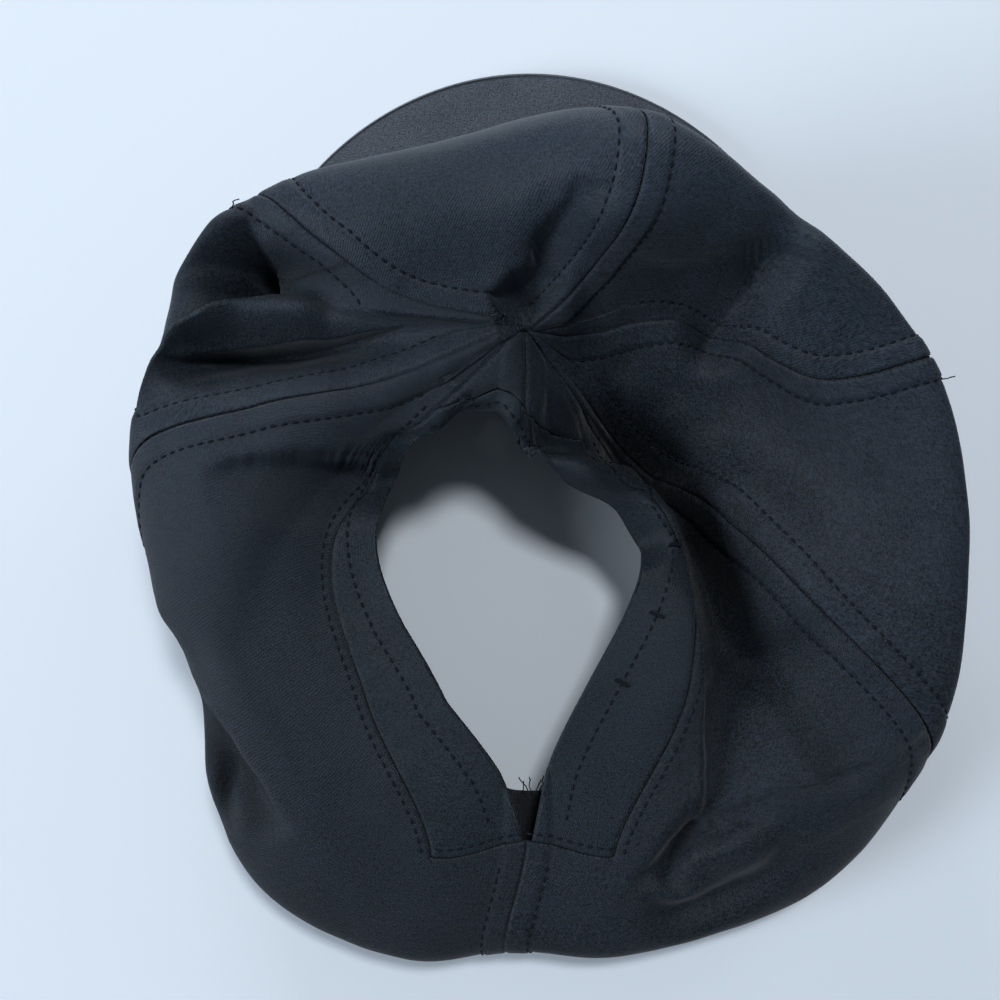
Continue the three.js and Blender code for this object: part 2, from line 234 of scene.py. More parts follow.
# name, colour, pitch of the ribs in mm, their slope, strength of the bump, roughness and sheen
CLOTHS = [
    ("charcoal_twill", (0.0074, 0.0110, 0.0164), 0.8, 1.0, 0.9, 0.62, 0.06),
    ("facing_cloth", (0.0064, 0.0103, 0.0152), 0.5, 0.0, 0.7, 0.6, 0.05),
    # the peak's cloth is the crown's twill, made paler here to paint the light that it catches
    ("peak_cloth", (0.029, 0.036, 0.047), 0.5, 1.0, 0.5, 0.7, 0.1),
    ("band_cloth", (0.012, 0.014, 0.017), 0.6, 0.0, 0.8, 0.9, 0.1),
    ("elastic_cloth", (0.012, 0.014, 0.018), 0.45, 0.0, 0.9, 0.9, 0.1),
]
twill, facing_cloth, peak_cloth, band_cloth, elastic_cloth = (cloth_material(*row) for row in CLOTHS)
print("cloths:", [row[0] for row in CLOTHS])

# %% [markdown]
# ## The slumped crown as a surface
#
# Cloth that has slumped is hard to sculpt by eye, but easy to describe as sections. Sixteen sections
# run from the rim to the point where the panels meet. Each is a smooth curve through a few points:
# up the outer wall, over the ridge, down the roll and along the fall to the crown point. A closed ring
# joins the sections at each station, so any place on the cloth is a section number and a station.

# %% Sections of the crown
# name, turn in degrees from the front, and four points as [across, forward, up], in hundredths of the
# rim's half width, of its half length and of the crown's height
SECTIONS = [
    ("back seam", 180, (-10, -105, 14), (-3, -76, 26), (-5, -37, 36), (-5, 7, 44)),
    ("left facing", 167, (-42, -107, 14), (-33, -80, 27), (-53, -40, 36), (-63, 2, 44)),
    ("back left", 143, (-90, -87, 14), (-91, -54, 36), (-86, -18, 45), (-60, 21, 51)),
    ("rear left seam", 114, (-114, -10, 28), (-123, 23, 53), (-86, 33, 61), (-46, 41, 59)),
    ("left crease", 96, (-119, 10, 30), (-119, 46, 57), (-98, 53, 46), (-47, 53, 57)),
    ("left roll", 84, (-117, 29, 32), (-114, 53, 58), (-94, 60, 58), (-52, 57, 60)),
    ("left pocket", 72, (-111, 51, 34), (-107, 70, 62), (-90, 72, 52), (-57, 60, 62)),
    ("front left seam", 54, (-94, 78, 36), (-84, 87, 69), (-64, 74, 71), (-42, 62, 65)),
    ("front left", 27, (-48, 104, 42), (-29, 92, 83), (-24, 79, 81), (-14, 67, 69)),
    ("front seam", 0, (7, 108, 51), (28, 90, 100), (26, 74, 93), (17, 67, 77)),
    ("front right", -28, (60, 96, 46), (65, 77, 87), (60, 71, 79), (37, 66, 65)),
    ("front right seam", -60, (106, 51, 32), (118, 46, 63), (87, 42, 58), (52, 60, 53)),
    ("side right", -90, (116, 0, 26), (132, -3, 47), (106, 6, 48), (60, 36, 40)),
    ("rear right seam", -120, (117, -60, 20), (121, -49, 36), (86, -15, 45), (51, 20, 42)),
    ("back right", -147, (96, -86, 16), (72, -68, 33), (64, -26, 30), (50, 12, 36)),
    ("right facing", -167, (27, -107, 14), (24, -80, 27), (47, -37, 36), (45, 1, 40)),
]
# where all the panels meet, in the same hundredths
CROWN_POINT = (-4, 56, 61)
HUNDREDTH = np.array([*RIM_HALF, CROWN_HEIGHT]) / 100
TURNS = np.array([section[1] for section in SECTIONS], float)
LAST_STATION = 5
print("sections of the crown:", len(SECTIONS))


# %% [markdown]
# The curves are centripetal Catmull-Rom splines, which pass through their points without looping.
# The rim itself is an ellipse, lifted a little at the front by the arched peak.


# %% Curves through points
FRONT_LIFT = 9.0
ROOT_TURN = 62.0
TINY = 1e-9


def smooth_step(value, low, high):
    """From 0 at low to 1 at high, level at both ends."""
    share = np.clip((value - low) / (high - low), 0, 1)
    return share * share * (3 - 2 * share)


def rim_lift(turn):
    """How far the peak's arch lifts the rim at each turn, in mm."""
    ends = math.cos(math.radians(ROOT_TURN))
    return FRONT_LIFT * smooth_step((np.cos(np.radians(turn)) - ends) / (1 - ends), 0, 1)


def spline(before, first, second, after, share):
    """A centripetal Catmull-Rom curve between first and second."""

    def gap(a, b):
        return np.sqrt(np.linalg.norm(b - a, axis=-1, keepdims=True)) + TINY

    g0, g1, g2 = gap(before, first), gap(first, second), gap(second, after)
    leave = ((first - before) / g0 - (second - before) / (g0 + g1) + (second - first) / g1) * g1
    arrive = ((second - first) / g1 - (after - first) / (g1 + g2) + (after - second) / g2) * g1
    t = share[..., None]
    return (
        first
        + leave * t
        + (3 * (second - first) - 2 * leave - arrive) * t**2
        + (2 * (first - second) + leave + arrive) * t**3
    )


def section_points():
    """Each section's points from the rim to the crown point, with one more beyond each end."""
    turns = np.radians(TURNS)
    rim = np.stack([-RIM_HALF[0] * np.sin(turns), RIM_HALF[1] * np.cos(turns), rim_lift(TURNS)], -1)
    middle = np.array([section[2:] for section in SECTIONS]) * HUNDREDTH
    tip = np.tile(CROWN_POINT * HUNDREDTH, (len(SECTIONS), 1))
    points = np.concatenate([rim[:, None], middle, tip[:, None]], 1)
    start = 2 * points[:, :1] - points[:, 1:2]
    end = 2 * points[:, -1:] - points[:, -2:-1]
    return np.concatenate([start, points, end], 1)


def ring_points(stations):
    """Where the sections stand at each station: an array of station, section and place."""
    points = section_points()
    whole = np.minimum(np.floor(stations).astype(int), LAST_STATION - 1)
    share = np.broadcast_to((stations - whole)[:, None], (len(stations), len(SECTIONS)))
    before, first, second, after = (points[:, whole + k].transpose(1, 0, 2) for k in range(4))
    return spline(before, first, second, after, share)


def crown_points(stations, sections):
    """The cloth at a grid of places: sections has a row for each station."""
    rings = ring_points(stations)
    count = len(SECTIONS)
    whole = np.floor(sections).astype(int)
    rows = np.arange(len(stations))[:, None]
    before, first, second, after = (rings[rows, (whole + k) % count] for k in (-1, 0, 1, 2))
    return spline(before, first, second, after, sections - whole)


# %% [markdown]
# ## The grid of the crown
#
# One grid covers the whole crown. Its columns are spread between the seams, and some of its rows
# follow the edges of the ponytail opening and of its facings. The panels are then cut from this one
# grid, so they meet exactly along their seams. The columns stand closer together near the seams, where
# the cloth has its finest shapes.

# %% Columns and rows
OPENING_FOOT = 2.0
OPENING_HEAD = 4.45
FACING_HEAD = 4.62
# station, and the opening's half width on the left and on the right, as shares of the way from the
# back seam to the facing's outer seam
OPENING = [
    (2.0, 0.05, 0.05),
    (2.5, 0.21, 0.17),
    (3.0, 0.46, 0.35),
    (3.5, 0.59, 0.53),
    (4.0, 0.68, 0.70),
    (4.25, 0.74, 0.58),
    (4.45, 0.70, 0.12),
]
# stretch, the sections or the side of the opening that it runs between, and its columns
STRETCHES = [
    ("left opening", 0, "left", 22),
    ("left facing", "left", 1, 22),
    ("back left", 1, 3, 76),
    ("side left", 3, 7, 136),
    ("front left", 7, 9, 92),
    ("front right", 9, 11, 92),
    ("side right", 11, 13, 92),
    ("back right", 13, 15, 76),
    ("right facing", 15, "right", 22),
    ("right opening", "right", 16, 22),
]
CROWDING = 0.5
TOP_STATION = 4.985
# first station, last station and the rows between them
ROW_SPANS = [
    (0.0, OPENING_FOOT, 64),
    (OPENING_FOOT, OPENING_HEAD, 84),
    (OPENING_HEAD, FACING_HEAD, 6),
    (FACING_HEAD, TOP_STATION, 18),
]

rows = [np.linspace(first, last, count, endpoint=False) for first, last, count in ROW_SPANS]
stations = np.concatenate([*rows, [TOP_STATION]])
foot_row = ROW_SPANS[0][2]
head_row = foot_row + ROW_SPANS[1][2]
facing_row = head_row + ROW_SPANS[2][2]


def opening_edge(side):
    """The opening's half width at each row, on one side."""
    profile = np.array(OPENING)
    return np.interp(stations, profile[:, 0], profile[:, 1 if side == "left" else 2])


def section_line(place):
    """The section number of a seam or of an edge of the opening, at each row."""
    if place == "left":
        return opening_edge("left")
    if place == "right":
        return len(SECTIONS) - opening_edge("right")
    return np.full(len(stations), float(place))


def lay_columns():
    """The section number of every column at every row, and the columns where each stretch ends."""
    parts = []
    spans = {}
    start = 0
    for name, begin, end, count in STRETCHES:
        low, high = section_line(begin), section_line(end)
        shares = np.arange(count) / count
        shares -= CROWDING * np.sin(2 * np.pi * shares) / (2 * np.pi)
        parts.append(low[:, None] + (high - low)[:, None] * shares)
        spans[name] = (start, start + count)
        start += count
    return np.concatenate(parts, 1), spans


sections, spans = lay_columns()
COLUMNS = sections.shape[1]
print("crown grid:", len(stations), "rows and", COLUMNS, "columns")

# %% [markdown]
# ## Folds
#
# Where cloth bends over itself it makes creases and rolls that sections alone would blur. A cloth
# simulation would make folds too, but not these ones, so each is listed here. A fold is a push of the
# cloth along a short line, strongest on the line and gone at its half width. A lip is sharper: an edge
# line with the cloth let down on one side of it. The grid's nearest nodes are moved onto that line, so
# that the edge runs clean, and the cloth beside it is softened a little.

# %% Folds pressed into the crown
# name, from and to as shares [across, forward], push in mm [across, forward, up], half width in mm,
# and how sharp its crest is from 0, round, to 1, creased
FOLDS = [
    ("hood", (-1.02, 0.66), (-0.97, 0.78), (0, 0, 6), 12, 0.0),
    ("roll under the hood", (-1.08, 0.555), (-0.74, 0.595), (0, 0, 5), 9, 0.0),
    ("recess beside the crown point", (0.16, 0.50), (0.44, 0.30), (0, 0, -14), 24, 0.0),
    ("front left dent", (0.04, 0.72), (-0.03, 0.62), (0, 0, -4), 9, 0.0),
    ("front right dart", (0.69, 0.69), (0.56, 0.57), (0, 0, -8), 11, 0.4),
    ("valley beside the right facing", (0.58, 0.02), (0.74, -0.26), (0, 0, -8), 17, 0.3),
    ("end of that valley", (0.78, -0.32), (0.95, -0.52), (0, 0, -5), 14, 0.3),
    ("left overhang", (-1.10, -0.30), (-0.90, -0.55), (5, 0, 0), 16, 0.0),
    ("pinched roll", (0.52, -0.77), (0.66, -0.78), (0, 0, 3), 9, 0.0),
    ("head of the left facing", (-0.42, 0.20), (-0.10, 0.22), (0, 7, -2), 12, 0.0),
    ("hem hanging under the crest", (0.08, 0.19), (0.33, 0.03), (0, 0, -9), 10, 0.0),
    ("left half of the opening's head", (-0.22, 0.30), (-0.12, 0.34), (0, 5, 0), 9, 0.0),
    ("right half of the opening's head", (0.02, 0.31), (0.25, 0.22), (0, -5, -3), 12, 0.0),
    ("pit under the crown point", (0.20, 0.38), (0.40, 0.27), (0, 0, -5), 12, 0.0),
]

# A lip is an edge where one layer of cloth stands over the next. name, its line as [across, forward,
# drop in mm] with the lower layer on its right, how far the lower layer takes to come up again, and how
# far the upper layer's edge hangs over it, both in mm
LIPS = [
    (
        "pocket",
        [
            (-0.88, 0.82, 0), (-0.85, 0.78, 4), (-0.82, 0.75, 7), (-0.81, 0.70, 10), (-0.80, 0.645, 12),
            (-0.84, 0.63, 11), (-0.94, 0.61, 7), (-1.02, 0.58, 4), (-1.12, 0.54, 1), (-1.18, 0.51, 0),
        ],
        10,
        1.5,
    ),
    (
        "roll foot",
        [
            (-1.18, 0.49, 0), (-1.10, 0.50, 3), (-1.00, 0.53, 6), (-0.80, 0.545, 7), (-0.61, 0.55, 5),
            (-0.40, 0.56, 0),
        ],
        10,
        1.5,
    ),
    (
        "band over the left facing",
        [
            (-1.02, 0.18, 0), (-0.89, 0.21, 4), (-0.72, 0.23, 7), (-0.60, 0.24, 9), (-0.44, 0.25, 11),
            (-0.35, 0.27, 12), (-0.26, 0.30, 13), (-0.18, 0.32, 12), (-0.12, 0.33, 9), (-0.05, 0.33, 3),
        ],
        20,
        2.5,
    ),
    (
        "crest of the right facing",
        [
            (0.53, -0.76, 0), (0.52, -0.72, 4), (0.52, -0.55, 6), (0.52, -0.39, 8), (0.51, -0.24, 10),
            (0.49, -0.13, 12), (0.47, 0.00, 14), (0.44, 0.08, 15), (0.39, 0.16, 15), (0.35, 0.22, 16),
            (0.30, 0.26, 16), (0.23, 0.25, 15), (0.14, 0.24, 13), (0.04, 0.25, 10), (-0.05, 0.26, 6),
            (-0.11, 0.30, 2),
        ],
        22,
        1.0,
    ),
    (
        "flank of the right facing",
        [
            (0.28, -0.86, 0), (0.35, -0.81, 4), (0.41, -0.76, 7), (0.46, -0.72, 8), (0.49, -0.70, 8),
            (0.53, -0.71, 5),
        ],
        9,
        1.0,
    ),
    (
        "left edge of the pinched roll",
        [
            (0.52, -0.72, 4), (0.50, -0.74, 6), (0.48, -0.77, 7), (0.46, -0.80, 7), (0.45, -0.83, 6),
            (0.46, -0.86, 3), (0.48, -0.88, 0),
        ],
        8,
        1.0,
    ),
    (
        "foot of the pinched roll",
        [
            (0.35, -0.89, 0), (0.40, -0.91, 3), (0.45, -0.91, 5), (0.54, -0.88, 5), (0.67, -0.82, 4),
            (0.75, -0.76, 2), (0.80, -0.72, 0),
        ],
        13,
        0.8,
    ),
    (
        "left overhang",
        [
            (-1.14, -0.26, 0), (-1.08, -0.34, 4), (-1.01, -0.41, 7), (-0.97, -0.46, 9),
            (-0.92, -0.51, 10), (-0.88, -0.56, 9), (-0.84, -0.61, 7), (-0.81, -0.66, 5),
            (-0.76, -0.74, 0),
        ],
        14,
        2.0,
    ),
    (
        "crease under the left overhang",
        [
            (-0.92, -0.53, 0), (-0.94, -0.60, 4), (-0.95, -0.70, 4), (-0.98, -0.76, 0),
        ],
        8,
        0.5,
    ),
    (
        "front left crease",
        [
            (-0.16, 0.63, 0), (-0.13, 0.64, 5), (-0.08, 0.67, 8), (-0.03, 0.69, 9), (-0.02, 0.72, 8),
            (0.03, 0.75, 7), (0.07, 0.77, 5), (0.09, 0.81, 0),
        ],
        14,
        0.8,
    ),
    (
        "front right crease",
        [
            (0.28, 0.68, 0), (0.44, 0.69, 4), (0.59, 0.71, 6), (0.71, 0.72, 7), (0.73, 0.71, 4),
            (0.74, 0.69, 0),
        ],
        16,
        0.8,
    ),
]
LIP_WIDTH = 6.0
LIP_SOFTNESS = 0.5
EDGE_REACH = 1.5
EDGE_SLACK = 0.2
LEAST_DROP = 0.2
LEAST_DISTANCE = 0.3
FULL_DROP = 6.0
LEVEL_SHARE = 0.15
CREASE_POWER = 1.6
CURVE_STEPS = 6
SOFTENING = 3
FAR = 1000.0


def push_folds(points, strength):
    """The points, pushed by each fold in turn."""
    points = points.copy()
    for _, begin, end, push, half, crease in FOLDS:
        begin = np.array(begin) * RIM_HALF
        line = np.array(end) * RIM_HALF - begin
        away = points[..., :2] - begin
        share = np.clip((away @ line) / (line @ line), 0, 1)
        distance = np.linalg.norm(away - share[..., None] * line, axis=-1) / half
        near = np.clip(1 - distance, 0, 1)
        round_push = np.clip(1 - distance**2, 0, 1) ** 2
        weight = (round_push * (1 - crease) + near**CREASE_POWER * crease) * strength
        points += weight[..., None] * np.array(push, float)
    return points


def smooth_line(line):
    """The line's points in mm, with a smooth curve drawn through them."""
    points = np.array(line) * [*RIM_HALF, 1.0]
    ends = np.concatenate([2 * points[:1] - points[1:2], points, 2 * points[-1:] - points[-2:-1]])
    share = np.linspace(0, 1, CURVE_STEPS, endpoint=False)[:, None].repeat(len(points) - 1, 1).T
    before, first, second, after = (ends[k : len(points) - 1 + k][:, None] for k in range(4))
    curve = spline(before, first, second, after, share).reshape(-1, 3)
    return np.concatenate([curve, points[-1:]])


def nearest_on_line(points, line, margin):
    """For each point, the nearest place on a line, the drop there, and how far it is on the right."""
    plan = points[..., :2]
    low, high = line[:, :2].min(0) - margin, line[:, :2].max(0) + margin
    near = np.all((plan > low) & (plan < high), -1)
    places = plan[near]
    best = np.full(len(places), np.inf)
    foot, drop, side = np.zeros(places.shape), np.zeros(len(places)), np.zeros(len(places))
    for first, second in zip(line, line[1:]):
        start, step = first[:2], (second - first)[:2]
        away = places - start
        share = np.clip((away @ step) / (step @ step), 0, 1)
        here = start + share[:, None] * step
        distance = np.linalg.norm(places - here, axis=-1)
        right = away[:, 0] * step[1] - away[:, 1] * step[0]
        closer = distance < best - TINY
        best = np.where(closer, distance, best)
        foot = np.where(closer[:, None], here, foot)
        drop = np.where(closer, first[2] + (second[2] - first[2]) * share, drop)
        side = np.where(closer, np.sign(right), side)
    all_foot = plan.copy()
    all_drop = np.zeros(points.shape[:2])
    all_distance = np.full(points.shape[:2], FAR)
    all_foot[near], all_drop[near], all_distance[near] = foot, drop, best * side
    return all_foot, all_drop, all_distance


def crossing_nodes(distance, points):
    """The grid nodes next to a line: where a grid edge crosses it, the nearer end of that edge."""
    marked = np.zeros(distance.shape, bool)
    for axis in (0, 1):
        low = distance if axis == 1 else distance[:-1]
        high = np.roll(distance, -1, 1) if axis == 1 else distance[1:]
        ends = np.roll(points, -1, 1) if axis == 1 else points[1:]
        starts = points if axis == 1 else points[:-1]
        length = np.linalg.norm(ends - starts, axis=-1)
        short = np.abs(low) + np.abs(high) < EDGE_REACH * length + EDGE_SLACK
        crossed = (low * high <= 0) & short
        low_nearer = np.abs(low) <= np.abs(high)
        if axis == 1:
            marked |= crossed & low_nearer
            marked |= np.roll(crossed & ~low_nearer, 1, 1)
        else:
            marked[:-1] |= crossed & low_nearer
            marked[1:] |= crossed & ~low_nearer
    return marked


def press_lips(points, strength):
    """The points, with the layer on the right of each lip let down under it."""
    points = points.copy()
    amount = np.zeros(points.shape[:2])
    for _, line, reach, overhang in LIPS:
        foot, drop, distance = nearest_on_line(points, smooth_line(line), reach + LIP_WIDTH)
        drop = drop * strength
        snapped = crossing_nodes(distance, points) & (drop > LEAST_DROP)
        points[..., :2] = np.where(snapped[..., None], foot, points[..., :2])
        distance = np.where(snapped, 0.0, distance)
        let_down = drop * (distance > 0) * (1 - smooth_step(distance, LEVEL_SHARE * reach, reach))
        toward = (foot - points[..., :2]) / np.maximum(np.abs(distance), LEAST_DISTANCE)[..., None]
        lean = np.clip(1 + np.minimum(distance, 0) / LIP_WIDTH, 0, 1) ** 2 * (distance <= 0)
        points[..., 2] -= let_down
        points[..., :2] += toward * (lean * overhang * np.minimum(drop / FULL_DROP, 1))[..., None]
        amount = np.maximum(amount, near_line(distance, drop))
    return soften(points, amount)


def near_line(distance, drop):
    """How far each point is softened: most at a lip, and not at all beyond a few millimetres."""
    near = 1 - smooth_step(np.abs(distance), LIP_WIDTH / 2, LIP_WIDTH)
    return LIP_SOFTNESS * near * smooth_step(drop, 0, 1)


def soften(points, amount):
    """The points, moved part of the way to the middle of their neighbours a few times over."""
    for _ in range(SOFTENING):
        padded = np.concatenate([points[:1], points, points[-1:]])
        middle = (padded[2:] + padded[:-2] + np.roll(points, 1, 1) + np.roll(points, -1, 1)) / 4
        points = points + (middle - points) * amount[..., None]
    return points


def level_rim(points):
    """The cloth's lower edge lies level on the table, and follows the lift at the front."""
    whole = np.floor(sections).astype(int)
    next_turn = np.append(TURNS[1:], -180.0)
    number = whole % len(SECTIONS)
    turn = TURNS[number] + (next_turn[number] - TURNS[number]) * (sections - whole)
    gap = rim_lift(turn[0]) - points[0, :, 2]
    points[..., 2] += gap * np.clip(1 - stations, 0, 1)[:, None]
    return points


smooth_crown = level_rim(crown_points(stations, sections))
soft = smooth_step(stations, 0.5, 1.5)[:, None]
crown = press_lips(push_folds(smooth_crown, soft), soft)
print("crown, mm:", np.ptp(crown.reshape(-1, 3), axis=0).round(1))

# %% [markdown]
# ## Lengths and normals on the grid
#
# Cloth has a thickness and a pattern that runs along it, so each node of the grid needs the way out of
# the cloth, and how far along the cloth it lies from its neighbours.


# %% Normals and lengths on a closed grid
def wrapped(values):
    """The grid with its first column repeated after its last."""
    return np.concatenate([values, values[:, :1]], 1)


def grid_normals(points):
    """Outward normals of a grid whose columns close into a ring."""
    along = np.roll(points, -1, 1) - np.roll(points, 1, 1)
    up = np.gradient(points, axis=0)
    normal = np.cross(up, along)
    return normal / np.linalg.norm(normal, axis=-1, keepdims=True)


def step_lengths(points, axis):
    return np.linalg.norm(np.diff(points, axis=axis), axis=-1)


def running_length(points, axis):
    """The length along the cloth from the first row or column to each node."""
    steps = step_lengths(points, axis)
    zero_shape = list(steps.shape)
    zero_shape[axis] = 1
    return np.concatenate([np.zeros(zero_shape), np.cumsum(steps, axis=axis)], axis=axis)


# %% [markdown]
# ## Seams
#
# At each seam the allowances of two panels are pressed open and stitched down. A band on each side
# stands up a little where the cloth is double. The needle pulls a groove along each line of stitches,
# and the thread gathers the cloth into small puckers. All this is shape, so it moves the grid itself.

# %% Distance from the nearest seam
SEAM_BAND = 6.0
SEAM_SEARCH = 40
OUT_OF_REACH = 99.0
RUNS_APART = 400
# seam, the stretch that starts at it, and its first row
SEAMS = [
    ("back seam", "left opening", 0),
    ("left facing seam", "back left", foot_row),
    ("rear left seam", "side left", 0),
    ("front left seam", "front left", 0),
    ("front seam", "front right", 0),
    ("front right seam", "side right", 0),
    ("rear right seam", "back right", 0),
    ("right facing seam", "right facing", foot_row),
]


def beside_column(points, column, step):
    """How far the column some steps away is from this one: square to it, and along it."""
    seam = points[:, column]
    tangent = np.gradient(seam, axis=0)
    tangent /= np.linalg.norm(tangent, axis=-1, keepdims=True)
    away = points[:, (column + step) % COLUMNS] - seam
    along = np.sum(away * tangent, -1)
    return np.sqrt(np.maximum(np.sum(away**2, -1) - along**2, 0)), along


def seam_field(points, seams):
    """At each node, the distance to the nearest of the seams and the length along it."""
    nearest = np.full(points.shape[:2], OUT_OF_REACH)
    run = np.zeros(points.shape[:2])
    for number, (_, stretch, first_row) in enumerate(seams):
        column = spans[stretch][0]
        length = running_length(points[:, column], 0)
        for step in range(-SEAM_SEARCH, SEAM_SEARCH + 1):
            square, along = beside_column(points, column, step)
            place = (column + step) % COLUMNS
            closer = square < nearest[:, place]
            closer[:first_row] = False
            nearest[closer, place] = square[closer]
            run[closer, place] = (length + along)[closer] + RUNS_APART * number
    return nearest, run


def noise_field(x, y, z=0.0):
    """Smooth noise from -1 to 1 at each place."""
    flat = np.stack(np.broadcast_arrays(x, y, z), -1).reshape(-1, 3)
    values = np.array([noise.noise(place) for place in flat.tolist()])
    return values.reshape(np.broadcast(x, y, z).shape)


# %% Relief of the seams
SEAM_RISE = 0.5
STITCH_GROOVE = 0.45
STITCH_HALF = 1.1
BAND_EDGE = (5.4, 7.2)
DITCH = 0.5
DITCH_HALF = 1.0
PUCKER = 0.35
PUCKER_LENGTH = 7.0
PUCKER_WIDTH = 14.0
PUCKER_FADE = (2, 16)


def ridge(distance, centre, half):
    """One at the centre of a line, and nothing beyond its half width."""
    return np.clip(1 - ((distance - centre) / half) ** 2, 0, 1) ** 2


def seam_relief(distance, run):
    """How far the cloth stands out beside a seam, in mm."""
    band = 1 - smooth_step(distance, *BAND_EDGE)
    puckers = noise_field(run / PUCKER_LENGTH, distance / PUCKER_WIDTH)
    puckers *= 1 - smooth_step(distance, *PUCKER_FADE)
    grooves = STITCH_GROOVE * ridge(distance, SEAM_BAND, STITCH_HALF)
    grooves += DITCH * ridge(distance, 0, DITCH_HALF)
    return SEAM_RISE * band - grooves + PUCKER * puckers


# %% [markdown]
# Between the seams the cloth is never quite smooth. Noise of two sizes gives it waves, and a third, which
# is strongest where the cloth is gathered round the crown point, crumples it.

# %% Waves and crumples
# height and length in mm
BROAD = (0.9, 34.0)
SMALL = (0.28, 11.0)
CRUMPLE = (1.3, 8.0)
CRUMPLE_PLACE = (12.0, 38.0)
CRUMPLE_REACH = 42.0


def cloth_unevenness(points):
    """Broad waves and small ones, which no cloth that has been worn is without."""
    x, y, z = (points[..., k] for k in range(3))
    broad = noise_field(x / BROAD[1], y / BROAD[1], z / BROAD[1] + 7)
    small = noise_field(x / SMALL[1], y / SMALL[1], z / SMALL[1] + 3)
    crumple = noise_field(x / CRUMPLE[1], y / CRUMPLE[1], 11.0)
    from_middle = np.linalg.norm(points[..., :2] - CRUMPLE_PLACE, axis=-1)
    gathered = 1 - smooth_step(from_middle, 0.2 * CRUMPLE_REACH, CRUMPLE_REACH)
    return BROAD[0] * broad + SMALL[0] * small + CRUMPLE[0] * crumple * gathered


# %% [markdown]
# ## From a grid to a sheet
#
# A solidify modifier could thicken the grid, but its edges would be square. So the two faces and the half
# round edge that joins them are laid as vertices here, a few steps round each free edge.

# %% Meshes from sheets
EDGE_STEPS = 4
EDGE_GAP = 0.05
SAME_WAY = 0.3


def add_mesh(name, vertices, faces, material, cloth=None, shade_and_wear=None):
    """A smooth shaded mesh on the cap's one body, with its cloth coordinates."""
    mesh = bpy.data.meshes.new(name)
    mesh.from_pydata(to_frame(vertices).tolist(), [], [list(face) for face in faces])
    mesh.validate()
    mesh.polygons.foreach_set("use_smooth", [True] * len(mesh.polygons))
    if cloth is not None:
        layer = mesh.attributes.new("cloth", "FLOAT_VECTOR", "POINT")
        layer.data.foreach_set("vector", np.asarray(cloth, np.float32).ravel())
        layer = mesh.attributes.new("shade_and_wear", "FLOAT", "POINT")
        layer.data.foreach_set("value", np.asarray(shade_and_wear, np.float32))
    mesh.materials.append(material)
    piece = bpy.data.objects.new(name, mesh)
    bpy.context.scene.collection.objects.link(piece)
    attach(piece, "root")
    return piece


def edge_directions(points, normals, used):
    """At each node of a free edge, the way out of the sheet, along it and square to the edge."""
    rows, columns = used.shape
    out = np.zeros(points.shape)
    padded = np.zeros((rows + 2, columns + 2), bool)
    padded[1:-1, 1:-1] = used
    along = np.gradient(points, axis=1)
    up = np.gradient(points, axis=0)
    for row_shift, column_shift, direction in ((0, 1, along), (1, 0, up)):
        here = padded[1:-1, 1:-1]
        for sign in (-1, 1):
            beyond = np.roll(padded, (-sign * row_shift, -sign * column_shift), (0, 1))[1:-1, 1:-1]
            free = here & ~beyond
            r, c = np.nonzero(free)
            if column_shift:
                nodes = [(r, c + (sign > 0)), (r + 1, c + (sign > 0))]
            else:
                nodes = [(r + (sign > 0), c), (r + (sign > 0), c + 1)]
            for node in nodes:
                edge = (up if column_shift else along)[node]
                square = np.cross(edge, normals[node])
                square /= np.linalg.norm(square, axis=-1, keepdims=True) + TINY
                square *= np.sign(np.sum(square * direction[node], -1, keepdims=True)) * sign
                out_now = out[node]
                fresh = np.linalg.norm(out_now - square, axis=-1) > SAME_WAY
                out[node] = np.where(fresh[:, None], out_now + square, out_now)
    size = np.linalg.norm(out, axis=-1, keepdims=True)
    return np.where(size > 0, out / np.maximum(size, TINY), 0), size[..., 0] > 0


def cloth_sheet(name, points, normals, used, thickness, cloth, shade_and_wear, material, slot):
    """The sheet over the used cells of a grid, as an object. points has one more row and column."""
    out, on_edge = edge_directions(points, normals, used)
    half = thickness / 2
    middle = points - out * (half + EDGE_GAP)
    rows, columns = used.shape
    touched = np.zeros((rows + 1, columns + 1), bool)
    for row_shift in (0, 1):
        for column_shift in (0, 1):
            touched[row_shift : rows + row_shift, column_shift : columns + column_shift] |= used
    angles = np.pi * np.arange(EDGE_STEPS + 1) / EDGE_STEPS
    layers = []
    index = []
    count = 0
    for layer, angle in enumerate(angles):
        chosen = touched if layer in (0, EDGE_STEPS) else touched & on_edge
        place = middle + normals * half * math.cos(angle) + out * half * math.sin(angle)
        numbers = np.full(touched.shape, -1)
        numbers[chosen] = np.arange(count, count + chosen.sum())
        count += int(chosen.sum())
        layers.append((place[chosen], cloth[chosen], shade_and_wear[chosen]))
        index.append(numbers)
    vertices = np.concatenate([layer[0] for layer in layers])
    cloth_all = np.concatenate([layer[1] for layer in layers])
    shade_and_wear_all = np.concatenate([layer[2] for layer in layers])
    r, c = np.nonzero(used)
    corners = [(r, c), (r + 1, c), (r + 1, c + 1), (r, c + 1)]
    outer = np.stack([index[0][k] for k in corners], -1)
    inner = np.stack([index[-1][k] for k in corners[::-1]], -1)
    faces = [outer, inner]
    # the step to the next cell, and the two corners on that side
    sides = [(0, -1, 0, 1), (1, 0, 1, 2), (0, 1, 2, 3), (-1, 0, 3, 0)]
    padded = np.zeros((rows + 2, columns + 2), bool)
    padded[1:-1, 1:-1] = used
    for row_shift, column_shift, first, second in sides:
        free = ~padded[r + 1 + row_shift, c + 1 + column_shift]
        a = tuple(k[free] for k in corners[first])
        b = tuple(k[free] for k in corners[second])
        for upper, lower in zip(index, index[1:]):
            faces.append(np.stack([upper[b], upper[a], lower[a], lower[b]], -1))
    return add_mesh(name, vertices, np.concatenate(faces), material, cloth_all, shade_and_wear_all)


